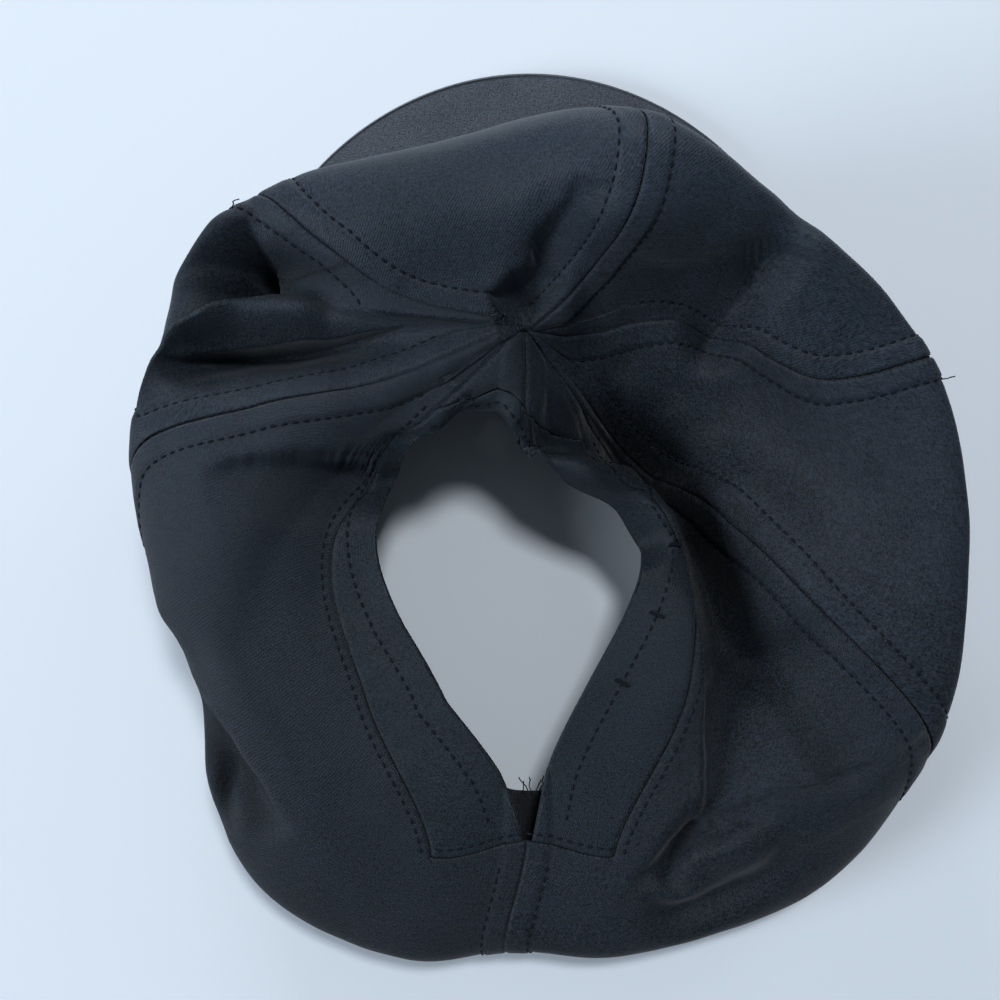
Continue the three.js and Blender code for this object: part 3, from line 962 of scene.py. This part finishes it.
# %% The finished surface of the crown
FACING_DITCH = (0.3, 1.2)
FACING_PUCKER = (0.25, 5.0, 9.0)
PUCKER_REACH = (2, 12)


def crown_normals(points):
    """Normals of the crown, level along its lower edge."""
    normals = grid_normals(points)
    normals[0, :, 2] = 0
    normals[0] /= np.linalg.norm(normals[0], axis=-1, keepdims=True)
    return normals


PANEL_SEAMS = [seam for seam in SEAMS if "facing" not in seam[0]]
FACING_SEAMS = [seam for seam in SEAMS if "facing" in seam[0]]
seam_distance, seam_run = seam_field(smooth_crown, PANEL_SEAMS)
facing_distance, facing_run = seam_field(smooth_crown, FACING_SEAMS)
above_rim = smooth_step(stations, 0.05, 0.6)[:, None]
to_crown_point = 1 - smooth_step(stations, 4.6, 4.95)[:, None]
relief = seam_relief(seam_distance, seam_run) + cloth_unevenness(crown) * above_rim * to_crown_point
depth, half_width = FACING_DITCH
relief -= depth * ridge(facing_distance, 0, half_width)
depth, long, wide = FACING_PUCKER
facing_puckers = noise_field(facing_run / long, facing_distance / wide)
relief -= depth * facing_puckers * (1 - smooth_step(facing_distance, *PUCKER_REACH))
crown = crown + crown_normals(crown) * (relief * above_rim)[..., None]
print("relief, mm:", round(relief.min(), 2), "to", round(relief.max(), 2))

# %% [markdown]
# ## Wear and fading
#
# The cloth's colour is made darker where it sees little of the sky, which paints shade into its folds
# and hollows, and paler the higher it stands, which paints light on its ridges. Rays sent up from the
# cloth tell how much of the sky each place sees. They are sent from some of the grid's nodes only, and
# the shares are spread out between them.

# %% Painted shade and light
SKY_RAYS = 48
SKY_STEP = 4
SKY_SMOOTHING = 5
GOLDEN_TURN = np.pi * (1 + 5**0.5)
# the open share and the height at which nothing is added, and how much each adds beyond: too little
# open sky paints shade into the cloth, and height paints light on it
OPEN_SKY_LEVEL = 0.62
SKY_SHADING = 0.95
LIT_HEIGHT = 0.42
HEIGHT_LIGHTING = 1.3


def sky_directions(count):
    """Directions spread evenly over the upper half of a sphere."""
    number = np.arange(count) + 0.5
    up = number / count
    turn = GOLDEN_TURN * number
    flat = np.sqrt(1 - up**2)
    return np.stack([flat * np.cos(turn), flat * np.sin(turn), up], -1)


def open_sky(points, normals, tree):
    """The share of the light from the whole sky that reaches each point of the cloth."""
    shares = np.zeros(points.shape[:2])
    directions = sky_directions(SKY_RAYS)
    for place in np.ndindex(shares.shape):
        facing = directions @ normals[place]
        start = Vector(points[place] + normals[place])
        for direction, weight in zip(directions, facing):
            if weight > 0 and tree.ray_cast(start, Vector(direction))[0] is None:
                shares[place] += weight
    return shares / directions[:, 2].sum()


def spread_out(coarse, shape):
    """Values known at every few rows and columns of the closed grid, drawn out to all of them."""
    row = np.arange(shape[0]) / SKY_STEP
    column = np.arange(shape[1]) / SKY_STEP
    r, c = row.astype(int), column.astype(int)
    below, beside = np.minimum(r + 1, coarse.shape[0] - 1), (c + 1) % coarse.shape[1]
    v, u = (row - r)[:, None], (column - c)[None]
    low = coarse[r][:, c] * (1 - u) + coarse[r][:, beside] * u
    high = coarse[below][:, c] * (1 - u) + coarse[below][:, beside] * u
    return low * (1 - v) + high * v


def surface_tree(points):
    """The crown as something that rays can hit."""
    rows, columns = points.shape[:2]
    r, c = np.mgrid[0 : rows - 1, 0:columns]
    after = (c + 1) % columns
    below, above = r * columns, (r + 1) * columns
    cells = np.stack([below + c, below + after, above + after, above + c], -1)
    return BVHTree.FromPolygons(points.reshape(-1, 3).tolist(), cells.reshape(-1, 4).tolist())


def painted_crown_shading(points, normals, tree):
    """Painted shade where the cloth sees little sky, and painted light the higher it stands."""
    some = (slice(None, None, SKY_STEP), slice(None, None, SKY_STEP))
    sky = open_sky(points[some], normals[some], tree)
    for _ in range(SKY_SMOOTHING):
        padded = np.concatenate([sky[:1], sky, sky[-1:]])
        sky = (padded[2:] + padded[:-2] + np.roll(sky, 1, 1) + np.roll(sky, -1, 1) + 2 * sky) / 6
    height = points[..., 2] / CROWN_HEIGHT
    return SKY_SHADING * (spread_out(sky, points.shape[:2]) - OPEN_SKY_LEVEL) + HEIGHT_LIGHTING * (height - LIT_HEIGHT)


crown_tree = surface_tree(crown)
normals = crown_normals(crown)
# painted shade where the cloth sees little sky, and painted light where it stands high
shade_and_wear = painted_crown_shading(crown, normals, crown_tree)
print("wear:", shade_and_wear.min().round(2), "to", shade_and_wear.max().round(2))

# %% [markdown]
# ## Panels and facings
#
# Six panels and two facings make the crown. Each is a mask over the cells of the one grid, so a cut can
# follow the opening as well as a seam, and no piece has to be fitted to its neighbour.

# %% Panels of the crown
points_all, normals_all, shade_and_wear_all = wrapped(crown), wrapped(normals), wrapped(shade_and_wear)
across_length = running_length(points_all, 1)
up_length = running_length(points_all, 0)


def cut_out(first, last):
    """The cells between two stretches, as a mask over the whole grid."""
    mask = np.zeros((len(stations) - 1, COLUMNS), bool)
    mask[:, spans[first][0] : spans[last][1]] = True
    return mask


facing_cells = cut_out("left opening", "left facing") | cut_out("right facing", "right opening")
facing_cells[:foot_row] = False
facing_cells[facing_row:] = False
opening_cells = cut_out("left opening", "left opening") | cut_out("right opening", "right opening")
opening_cells[:foot_row] = False
opening_cells[head_row:] = False


def cloth_places(mask):
    """Places on the flat cloth, measured from the middle column of the piece."""
    columns = np.nonzero(mask.any(0))[0]
    middle = (columns[0] + columns[-1] + 1) // 2
    u = across_length - across_length[:, middle : middle + 1]
    v = np.broadcast_to(up_length[:, middle : middle + 1], u.shape)
    return np.stack([u, v, np.full(u.shape, float(middle))], -1)


# node, the first and the last of its stretches
PANELS = [
    ("front_left_panel", "front left", "front left"),
    ("front_right_panel", "front right", "front right"),
    ("side_left_panel", "side left", "side left"),
    ("side_right_panel", "side right", "side right"),
    ("back_left_panel", "left opening", "back left"),
    ("back_right_panel", "back right", "right opening"),
]
FACINGS = [
    ("placket_left", "left opening", "left facing"),
    ("placket_right", "right facing", "right opening"),
]
# the nodes, the cells that they may take, their material and their slot
CUTS = [
    (PANELS, ~facing_cells, twill, "crown_cloth"),
    (FACINGS, facing_cells & ~opening_cells, facing_cloth, "placket_cloth"),
]
for nodes, allowed, material, slot in CUTS:
    for node, first, last in nodes:
        cells = cut_out(first, last) & allowed
        sheet = (points_all, normals_all, cells, CLOTH, cloth_places(cells), shade_and_wear_all)
        piece = cloth_sheet(node + "_cloth", *sheet, material, slot)
        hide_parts(node)
        print(node, "cells:", cells.sum())

# %% [markdown]
# ## Stitches
#
# A lockstitch shows as a row of short threads, each of which rises out of one needle hole and dives into
# the next. A bump could paint them, but they would vanish at the edge of the cap. Here each is a small
# arched tube, laid on the finished cloth along lines that run at a fixed distance beside the seams.

# %% Lines on the cloth
def along_line(values, length, marks):
    """The values at some marks along a line."""
    return np.stack([np.interp(marks, length, values[:, k]) for k in range(3)], -1)


def line_beside(column, distance, first_row, last_row):
    """Points and normals on the cloth, along a line at one distance beside a grid column."""
    side = 1 if distance > 0 else -1
    steps = np.arange(SEAM_SEARCH + 1)
    squares = np.array([beside_column(smooth_crown, column, side * step)[0] for step in steps])
    lines = []
    for row in range(first_row, last_row):
        beyond = np.nonzero(squares[:, row] >= abs(distance))[0]
        if len(beyond) == 0 or beyond[0] == 0:
            continue
        step = beyond[0]
        inside, outside = squares[step - 1, row], squares[step, row]
        share = (abs(distance) - inside) / (outside - inside)
        near, far = (column + side * (step - 1)) % COLUMNS, (column + side * step) % COLUMNS
        place = crown[row, near] * (1 - share) + crown[row, far] * share
        normal = normals[row, near] * (1 - share) + normals[row, far] * share
        lines.append((place, normal))
    return lay_on_top(lines)


def line_on_column(column, first_row, last_row):
    column %= COLUMNS
    return lay_on_top([(crown[row, column], normals[row, column]) for row in range(first_row, last_row)])


def line_on_row(row, first_column, last_column):
    columns = np.arange(first_column, last_column) % COLUMNS
    return lay_on_top([(crown[row, column], normals[row, column]) for column in columns])


def lay_on_top(line):
    """A line's points moved to the outer side of the cloth, with their normals."""
    places = np.array([place for place, _ in line])
    outward = np.array([normal for _, normal in line])
    outward /= np.linalg.norm(outward, axis=-1, keepdims=True)
    return places + outward * CLOTH / 2, outward


# %% Stitches
THREAD = 0.62
STITCH = 2.7
STITCH_GAP = 0.8
STITCH_SIDES = 6
STITCH_RINGS = 6
UNEVEN = 0.12
ARCH = 0.55
DIVE = 0.35
TAPER = 1.8
FLATTENED = 0.8


def stitch_mesh(line, seed, sunk=0.0):
    """The vertices and faces of all the stitches along one line."""
    places, outward = line
    length = running_length(places, 0)
    count = int(length[-1] / STITCH)
    middle = (np.arange(count) + 0.5) * STITCH
    uneven = noise_field(np.arange(count) * 0.73, seed * 3.1)
    shares = np.linspace(-0.5, 0.5, STITCH_RINGS)
    marks = middle[:, None] + shares * (STITCH - STITCH_GAP) * (1 + UNEVEN * uneven[:, None])
    centre = along_line(places, length, marks)
    normal = along_line(outward, length, marks)
    arch = 1 - (2 * shares) ** 4
    centre = centre + normal * (THREAD * (ARCH * arch - DIVE) - sunk)[None, :, None]
    tangent = centre[:, -1:] - centre[:, :1]
    tangent = tangent / np.linalg.norm(tangent, axis=-1, keepdims=True)
    side = np.cross(tangent, normal)
    side /= np.linalg.norm(side, axis=-1, keepdims=True)
    centre = centre + side * (UNEVEN * uneven[:, None, None] * shares[None, :, None] * 2)
    angles = 2 * np.pi * np.arange(STITCH_SIDES) / STITCH_SIDES
    taper = np.sqrt(1 - (TAPER * shares) ** 2)[None, :, None, None]
    across = side[:, :, None] * np.cos(angles)[:, None]
    ring = across + normal[:, :, None] * FLATTENED * np.sin(angles)[:, None]
    vertices = centre[:, :, None] + ring * taper * THREAD / 2
    return vertices.reshape(-1, 3), tube_faces(count, STITCH_RINGS, STITCH_SIDES)


def tube_faces(tubes, rings, sides):
    """The faces of many tubes whose vertices follow each other, closed at both ends."""
    ring, side = np.meshgrid(np.arange(rings - 1), np.arange(sides), indexing="ij")
    after = (side + 1) % sides
    here, there = ring * sides, (ring + 1) * sides
    quads = np.stack([here + side, here + after, there + after, there + side], -1).reshape(-1, 4)
    ends = [list(range(sides))[::-1], [(rings - 1) * sides + k for k in range(sides)]]
    faces = []
    for tube in range(tubes):
        offset = tube * rings * sides
        faces.extend((quads + offset).tolist())
        faces.extend([k + offset for k in end] for end in ends)
    return faces


def add_joined(name, parts, material):
    """One piece from several parts, each of which is its vertices and its faces."""
    vertices = []
    faces = []
    count = 0
    for some, some_faces in parts:
        vertices.append(some)
        faces.extend([k + count for k in face] for face in some_faces)
        count += len(some)
    add_mesh(name, np.concatenate(vertices), faces, material)
    print(name, "vertices:", count)


def sew(name, lines, material, sunk=0.0):
    """All the stitches of some lines, as one piece."""
    parts = [stitch_mesh(line, seed + 1, sunk) for seed, line in enumerate(lines)]
    add_joined(name, parts, material)


def thread_material():
    """Spun polyester thread, dark like the cloth and painted darker for the shade in its needle holes."""
    material = bpy.data.materials.new("thread")
    material.use_nodes = True
    shader = material.node_tree.nodes["Principled BSDF"]
    shader.inputs["Base Color"].default_value = (0.0025, 0.004, 0.008, 1)
    shader.inputs["Roughness"].default_value = 0.7
    shader.inputs["Specular IOR Level"].default_value = 0.1
    return material


thread = thread_material()
FIRST_STITCH_ROW = 3
LAST_STITCH_ROW = len(stations) - 3
DITCH_SUNK = 0.35
top_lines = []
ditch_lines = []
for name, stretch, _ in PANEL_SEAMS:
    column = spans[stretch][0]
    last_row = foot_row - 2 if name == "back seam" else LAST_STITCH_ROW
    ditch_lines.append(line_on_column(column, FIRST_STITCH_ROW, last_row))
    for distance in (-SEAM_BAND, SEAM_BAND):
        top_lines.append(line_beside(column, distance, FIRST_STITCH_ROW, last_row))
sew("topstitching", top_lines, thread)
sew("seam_stitching", ditch_lines, thread, DITCH_SUNK)

# %% [markdown]
# The facings are sewn along their hem, beside the seam that joins them to the panels, and across their
# foot and their head.

# %% Stitches of the facings
HEM = 7.7
BESIDE_FACING = 2.4
left_edge = spans["left facing"][0]
right_edge = spans["right opening"][0]
left_seam = spans["back left"][0]
right_seam = spans["right facing"][0]
facing_lines = [
    line_beside(left_edge, HEM, foot_row + 6, head_row - 2),
    line_beside(right_edge, -HEM, foot_row + 6, head_row - 2),
    line_beside(left_seam, BESIDE_FACING, foot_row, facing_row),
    line_beside(right_seam, -BESIDE_FACING, foot_row, facing_row),
    line_on_row(foot_row + 2, right_seam - COLUMNS, left_seam),
    line_on_row(head_row + 3, right_seam - COLUMNS, left_seam),
]
sew("facing_stitching", facing_lines, thread)

# %% [markdown]
# ## Bartacks and loose threads
#
# Where the hem takes a strain the thread goes to and fro many times, which makes a short thick bar. Cut
# ends are left standing here and there, and the cut elastic frays. A loose end is a thin tube that
# follows a curve through a few places.

# %% Bartacks
BARTACK = 4.0
BARTACK_TURNS = 7
BARTACK_STEPS = 29
BARTACK_WEAVE = 0.35
BARTACK_LIFT = 0.25
BARTACK_RADIUS = 0.28
BARTACK_SHARES = (0.42, 0.63, 0.84)


def hem_line(column, distance, share):
    """A place and a normal at one share of the way along a line of facing stitches."""
    places, outward = line_beside(column, distance, foot_row + 6, head_row - 2)
    index = int(share * (len(places) - 1))
    tangent = places[min(index + 2, len(places) - 1)] - places[index - 2]
    return places[index], outward[index], tangent / np.linalg.norm(tangent)


def bartack(column, distance, share):
    """A bar of thread that lies across the hem at one place."""
    place, outward, tangent = hem_line(column, distance, share)
    across = np.cross(outward, tangent)
    swing = np.linspace(0, 1, BARTACK_STEPS)
    offset = across * (BARTACK * (swing - 0.5))[:, None]
    weave = tangent * (BARTACK_WEAVE * np.sin(2 * np.pi * BARTACK_TURNS * swing))[:, None]
    return place + offset + weave + outward * BARTACK_LIFT


TUBE_SIDES = 5
# a direction that no thread runs along
ASIDE = (0.31, 0.22, 0.92)


def tube(path, radius):
    """The vertices and faces of a thin tube along a path."""
    tangent = np.gradient(path, axis=0)
    tangent /= np.linalg.norm(tangent, axis=-1, keepdims=True)
    side = np.cross(tangent, ASIDE)
    side /= np.linalg.norm(side, axis=-1, keepdims=True)
    up = np.cross(side, tangent)
    angles = 2 * np.pi * np.arange(TUBE_SIDES) / TUBE_SIDES
    ring = side[:, None] * np.cos(angles)[:, None] + up[:, None] * np.sin(angles)[:, None]
    return (path[:, None] + ring * radius).reshape(-1, 3), tube_faces(1, len(path), TUBE_SIDES)


def add_tubes(name, paths, radius, material):
    """Several thin tubes as one piece."""
    add_joined(name, [tube(path, radius) for path in paths], material)


bars = [bartack(right_edge, -HEM, share) for share in BARTACK_SHARES]
add_tubes("bartacks", bars, BARTACK_RADIUS, thread)

# %% Loose ends
CURL_STEPS = 14
CURL_RISE = 0.4
CURL_WANDER = 0.35
LOOSE_RADIUS = 0.16


def curl(place, outward, along, length, seed):
    """A path that leaves the cloth at a place and wanders as it goes."""
    share = np.linspace(0, 1, CURL_STEPS)
    wander = [noise_field(share * 2.2, seed * 5.3 + k) for k in range(3)]
    ahead = along * length * share[:, None]
    rise = outward * length * CURL_RISE * np.sin(np.pi * share / 2)[:, None]
    return place + ahead + rise + np.stack(wander, -1) * (CURL_WANDER * length * share)[:, None]


# a line of stitches, the place in mm [across, forward] where its thread was left long, and its length
LOOSE_ENDS = [
    (top_lines[4], (-77, 86), 4.0),
    (top_lines[9], (107, 45), 5.0),
    (facing_lines[1], (36, 14), 4.0),
]
ends = []
for number, ((places, outward), target, length) in enumerate(LOOSE_ENDS):
    index = np.argmin(np.linalg.norm(places[:-1, :2] - target, axis=-1))
    along = places[index + 1] - places[index]
    ends.append(curl(places[index], outward[index], along / np.linalg.norm(along), length, number))
    print("loose end, mm:", places[index].round())
add_tubes("loose_ends", ends, LOOSE_RADIUS, thread)

# %% [markdown]
# ## Peak
#
# The peak is a board covered in the same cloth, though its colour is made paler to paint the light it
# catches. It is sewn to the front of the rim, so its root follows the foot of the crown. From there the
# rows of its grid run out to an outline that is nearly an ellipse.

# %% Beside the rim
RIM_STATIONS = np.arange(0, 0.31, 0.01)
SECTION_STEP = 0.02


def sections_at(turns):
    """The section number at each turn, in degrees from the front."""
    wrapped_turns = (np.asarray(turns, float) + 180) % 360 - 180
    wrapped_turns = np.where(wrapped_turns == -180, 180, wrapped_turns)
    return np.interp(-wrapped_turns, -np.append(TURNS, -180.0), np.arange(len(TURNS) + 1))


def beside_rim(turns, outward, height):
    """Points level with the rim, beside the cloth, and the horizontal way out there."""
    places = sections_at(turns)
    grid = crown_points(RIM_STATIONS, np.broadcast_to(places, (len(RIM_STATIONS), len(places))))
    lift = rim_lift(turns)
    grid[..., 2] += (lift - grid[0, :, 2]) * (1 - RIM_STATIONS)[:, None]
    foot = RIM_STATIONS[:1]
    after, before = (crown_points(foot, places[None] + step)[0] for step in (SECTION_STEP, -SECTION_STEP))
    out = np.cross(grid[2] - grid[0], after - before)
    out[:, 2] = 0
    out /= np.linalg.norm(out, axis=-1, keepdims=True)
    reached = np.argmax(grid[..., 2] >= grid[0, :, 2] + height, axis=0)
    points = grid[reached, np.arange(len(places))] + out * outward
    points[:, 2] = lift
    return points, out


def open_normals(points):
    """Normals of a grid with free edges."""
    normal = np.cross(np.gradient(points, axis=0), np.gradient(points, axis=1))
    return normal / np.linalg.norm(normal, axis=-1, keepdims=True)


# %% Peak
PEAK_HALF_WIDTH = 93.0
PEAK_BOARD = 3.0
PEAK_TIP_RISE = 7.0
PEAK_SWEEP = 100.0
PEAK_ROWS = 44
PEAK_COLUMNS = 160
PEAK_LENGTH_SHARE = 0.63
PEAK_JOIN = (0.9, 9)
PEAK_EDGE_WEAR = (0.12, 12)
SEAM_GAP = 1.0


def peak_outline(shares, root):
    """The peak's outer edge, from its left end to its right end."""
    sweep = np.radians(PEAK_SWEEP) * shares
    length = PEAK_TIP * PEAK_LENGTH_SHARE
    across, forward = -PEAK_HALF_WIDTH * np.sin(sweep), PEAK_TIP - length * (1 - np.cos(sweep))
    edge = np.stack([across, forward, np.zeros_like(shares)], -1)
    amount, power = PEAK_JOIN
    edge += (root - edge) * (amount * np.abs(shares) ** power)[:, None]
    rise = smooth_step(np.abs(shares), 0, 0.9)
    edge[:, 2] = PEAK_TIP_RISE + (PEAK_BOARD / 2 - PEAK_TIP_RISE) * rise
    return edge


def make_peak():
    """The board and its cover, from the rim out to the outline."""
    shares = np.linspace(1, -1, PEAK_COLUMNS + 1)
    root, _ = beside_rim(ROOT_TURN * shares, SEAM_GAP, PEAK_BOARD)
    root[:, 2] += PEAK_BOARD / 2
    edge = peak_outline(shares, root)
    along = np.linspace(0, 1, PEAK_ROWS + 1)[:, None, None]
    points = root + (edge - root) * along
    points[..., 2] += (PEAK_BOARD * along * (1 - along))[..., 0]
    normals = open_normals(points)
    normals *= np.sign(normals[..., 2:])
    used = np.ones((PEAK_ROWS, PEAK_COLUMNS), bool)
    cloth = points * [1, 1, 0]
    amount, power = PEAK_EDGE_WEAR
    shade_and_wear = np.broadcast_to(amount * along[..., 0] ** power, points.shape[:2])
    sheet = (points, normals, used, PEAK_BOARD, cloth, shade_and_wear)
    piece = cloth_sheet("peak_cloth", *sheet, peak_cloth, "peak_cloth")
    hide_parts("peak")


make_peak()

# %% [markdown]
# ## Sweatband and elastic
#
# Inside the rim runs a band that takes the wearer's sweat. It stands up at the front and flops inwards
# at the back, where it turns into a gathered elastic. The elastic shows at the foot of the opening.

# %% Sweatband and elastic
BAND_HEIGHT = 37.0
BAND = 1.4
BAND_LOWEST = 0.8
STAND_LEAN = 84.0
FLOP_LEAN = 24.0
ELASTIC_TURN = 138.0
ELASTIC_GAP = 0.3
BAND_ROWS = 16
RIB_PITCH = 2.1
RIB_DEPTH = 0.35
TUCK_ROOM = 3.0
TUCK_WIDTH = 12


def tuck_under(points, room):
    """The points, let down smoothly where they would come too close to the crown's cloth."""
    excess = np.zeros(points.shape[:2])
    for place in np.ndindex(excess.shape):
        x, y, z = points[place]
        hit, _, _, _ = crown_tree.ray_cast(Vector((x, y, 1.0)), Vector((0, 0, 1)))
        if hit is not None:
            excess[place] = max(z - (hit.z - room), 0)
    excess = np.maximum.accumulate(excess, axis=0)
    shifts = range(-TUCK_WIDTH, TUCK_WIDTH + 1)
    wide = np.max([np.roll(excess, shift, 1) for shift in shifts], axis=0)
    smooth = np.mean([np.roll(wide, shift, 1) for shift in shifts], axis=0)
    tucked = points.copy()
    tucked[..., 2] = np.maximum(points[..., 2] - smooth, BAND_LOWEST)
    return tucked


def band_grid(turns):
    """The band's middle surface: upright at the front, and leaning further inwards towards the back."""
    points, out = beside_rim(turns, -(SEAM_GAP + BAND / 2), 0)
    back = smooth_step(-np.cos(np.radians(turns)), -0.25, 0.75)
    lean = np.radians(STAND_LEAN + (FLOP_LEAN - STAND_LEAN) * back)
    height = BAND_HEIGHT * np.linspace(0, 1, BAND_ROWS + 1)[:, None]
    grid = points - out * (height * np.cos(lean))[..., None]
    grid[..., 2] += height * np.sin(lean)
    grid[1:] = tuck_under(grid[1:], TUCK_ROOM)
    return grid


def band_sheet(name, node, first, last, columns, material, slot, rib):
    """A stretch of the band from one turn to another, with ribs of some depth across it."""
    turns = np.linspace(first, last, columns)
    points = band_grid(turns)
    normals = open_normals(points)
    normals *= np.sign(np.sum(normals * (points - points.mean((0, 1))), -1, keepdims=True))
    length = running_length(points[:1], 1)[0]
    share = np.linspace(0, 1, BAND_ROWS + 1)[:, None]
    ripple = rib * np.sin(2 * np.pi * length / RIB_PITCH) * np.sin(np.pi * share) ** 0.5
    points = points + normals * ripple[..., None]
    cloth = np.stack(np.broadcast_arrays(length, BAND_HEIGHT * share, 0.0), -1)
    used = np.ones((BAND_ROWS, columns - 1), bool)
    sheet = (points, normals, used, BAND, cloth, np.zeros(points.shape[:2]))
    piece = cloth_sheet(name, *sheet, material, slot)
    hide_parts(node)
    print(name, "length at the rim, mm:", length[-1].round())


START = ELASTIC_TURN + ELASTIC_GAP
END = ELASTIC_TURN - ELASTIC_GAP
band_sheet("sweatband_cloth", "sweatband", -END, END, 300, band_cloth, "band_cloth", 0.0)
band_sheet("elastic_cloth", "elastic_band", START, 360 - START, 520, elastic_cloth, "elastic", RIB_DEPTH)

# %% [markdown]
# The elastic was cut, and the ends of its threads stand up in the opening. They are tubes that start at
# its upper edge.

# %% Frayed threads of the elastic
FRAY_TURNS = (176.8, 178.2, 179.1, 180.4, 181.3, 182.6)
FRAY_RADIUS = 0.15
UP = np.array([0.0, 0.0, 1.0])

frays = []
for number, place in enumerate(band_grid(np.array(FRAY_TURNS))[-1]):
    along = np.array([0.5 * math.sin(5.0 * number), 0.9, 0.3])
    frays.append(curl(place, UP, along, 3.0 + number % 3, 20 + number))
add_tubes("frayed_threads", frays, FRAY_RADIUS, thread)

# %% [markdown]
# ## Floor and light
#
# The cap lies on a pale cloth, which is stage and not part of the model. A lamp from above and in front
# throws the shadow that is seen through the opening. Three soft windows round the cap lift its sides,
# and the world's pale blue fills the folds.

# %% Floor and light
FLOOR_SIZE = 4.0
FLOOR_DROP = 0.0005
FLOOR_COLOUR = (0.46, 0.51, 0.57, 1)
SKY_COLOUR = (0.8, 0.9, 1.0, 1)
SKY_STRENGTH = 0.2

bpy.ops.mesh.primitive_plane_add(size=FLOOR_SIZE, location=(0, 0, -FLOOR_DROP))
floor = bpy.context.object
floor.name = "floor"
floor_material = bpy.data.materials.new("pale_floor")
floor_material.use_nodes = True
floor_shader = floor_material.node_tree.nodes["Principled BSDF"]
floor_shader.inputs["Base Color"].default_value = FLOOR_COLOUR
floor_shader.inputs["Roughness"].default_value = 0.9
floor.data.materials.append(floor_material)

# name, place in m, size in m, power in W and colour
LIGHTS = [
    ("lamp", (0.18, 0.36, 1.43), 0.25, 16.0, (1.0, 1.0, 1.0)),
    ("window", (-0.4, 1.36, 0.50), 0.6, 13.0, (0.92, 0.96, 1.0)),
    ("side_window", (-1.25, -0.45, 0.66), 0.6, 22.0, (0.88, 0.94, 1.0)),
    ("corner_window", (1.0, 1.0, 0.55), 0.6, 4.0, (0.92, 0.96, 1.0)),
]
for name, place, size, power, colour in LIGHTS:
    light_data = bpy.data.lights.new(name, "AREA")
    light_data.size = size
    light_data.energy = power
    light_data.color = colour
    light = bpy.data.objects.new(name, light_data)
    light.location = place
    light.rotation_euler = Vector(place).to_track_quat("Z", "Y").to_euler()
    bpy.context.scene.collection.objects.link(light)

world = bpy.data.worlds.new("room")
world.use_nodes = True
background = world.node_tree.nodes["Background"]
background.inputs["Color"].default_value = SKY_COLOUR
background.inputs["Strength"].default_value = SKY_STRENGTH
bpy.context.scene.world = world
bpy.context.scene.view_settings.view_transform = "Standard"
print("lights:", [row[0] for row in LIGHTS])
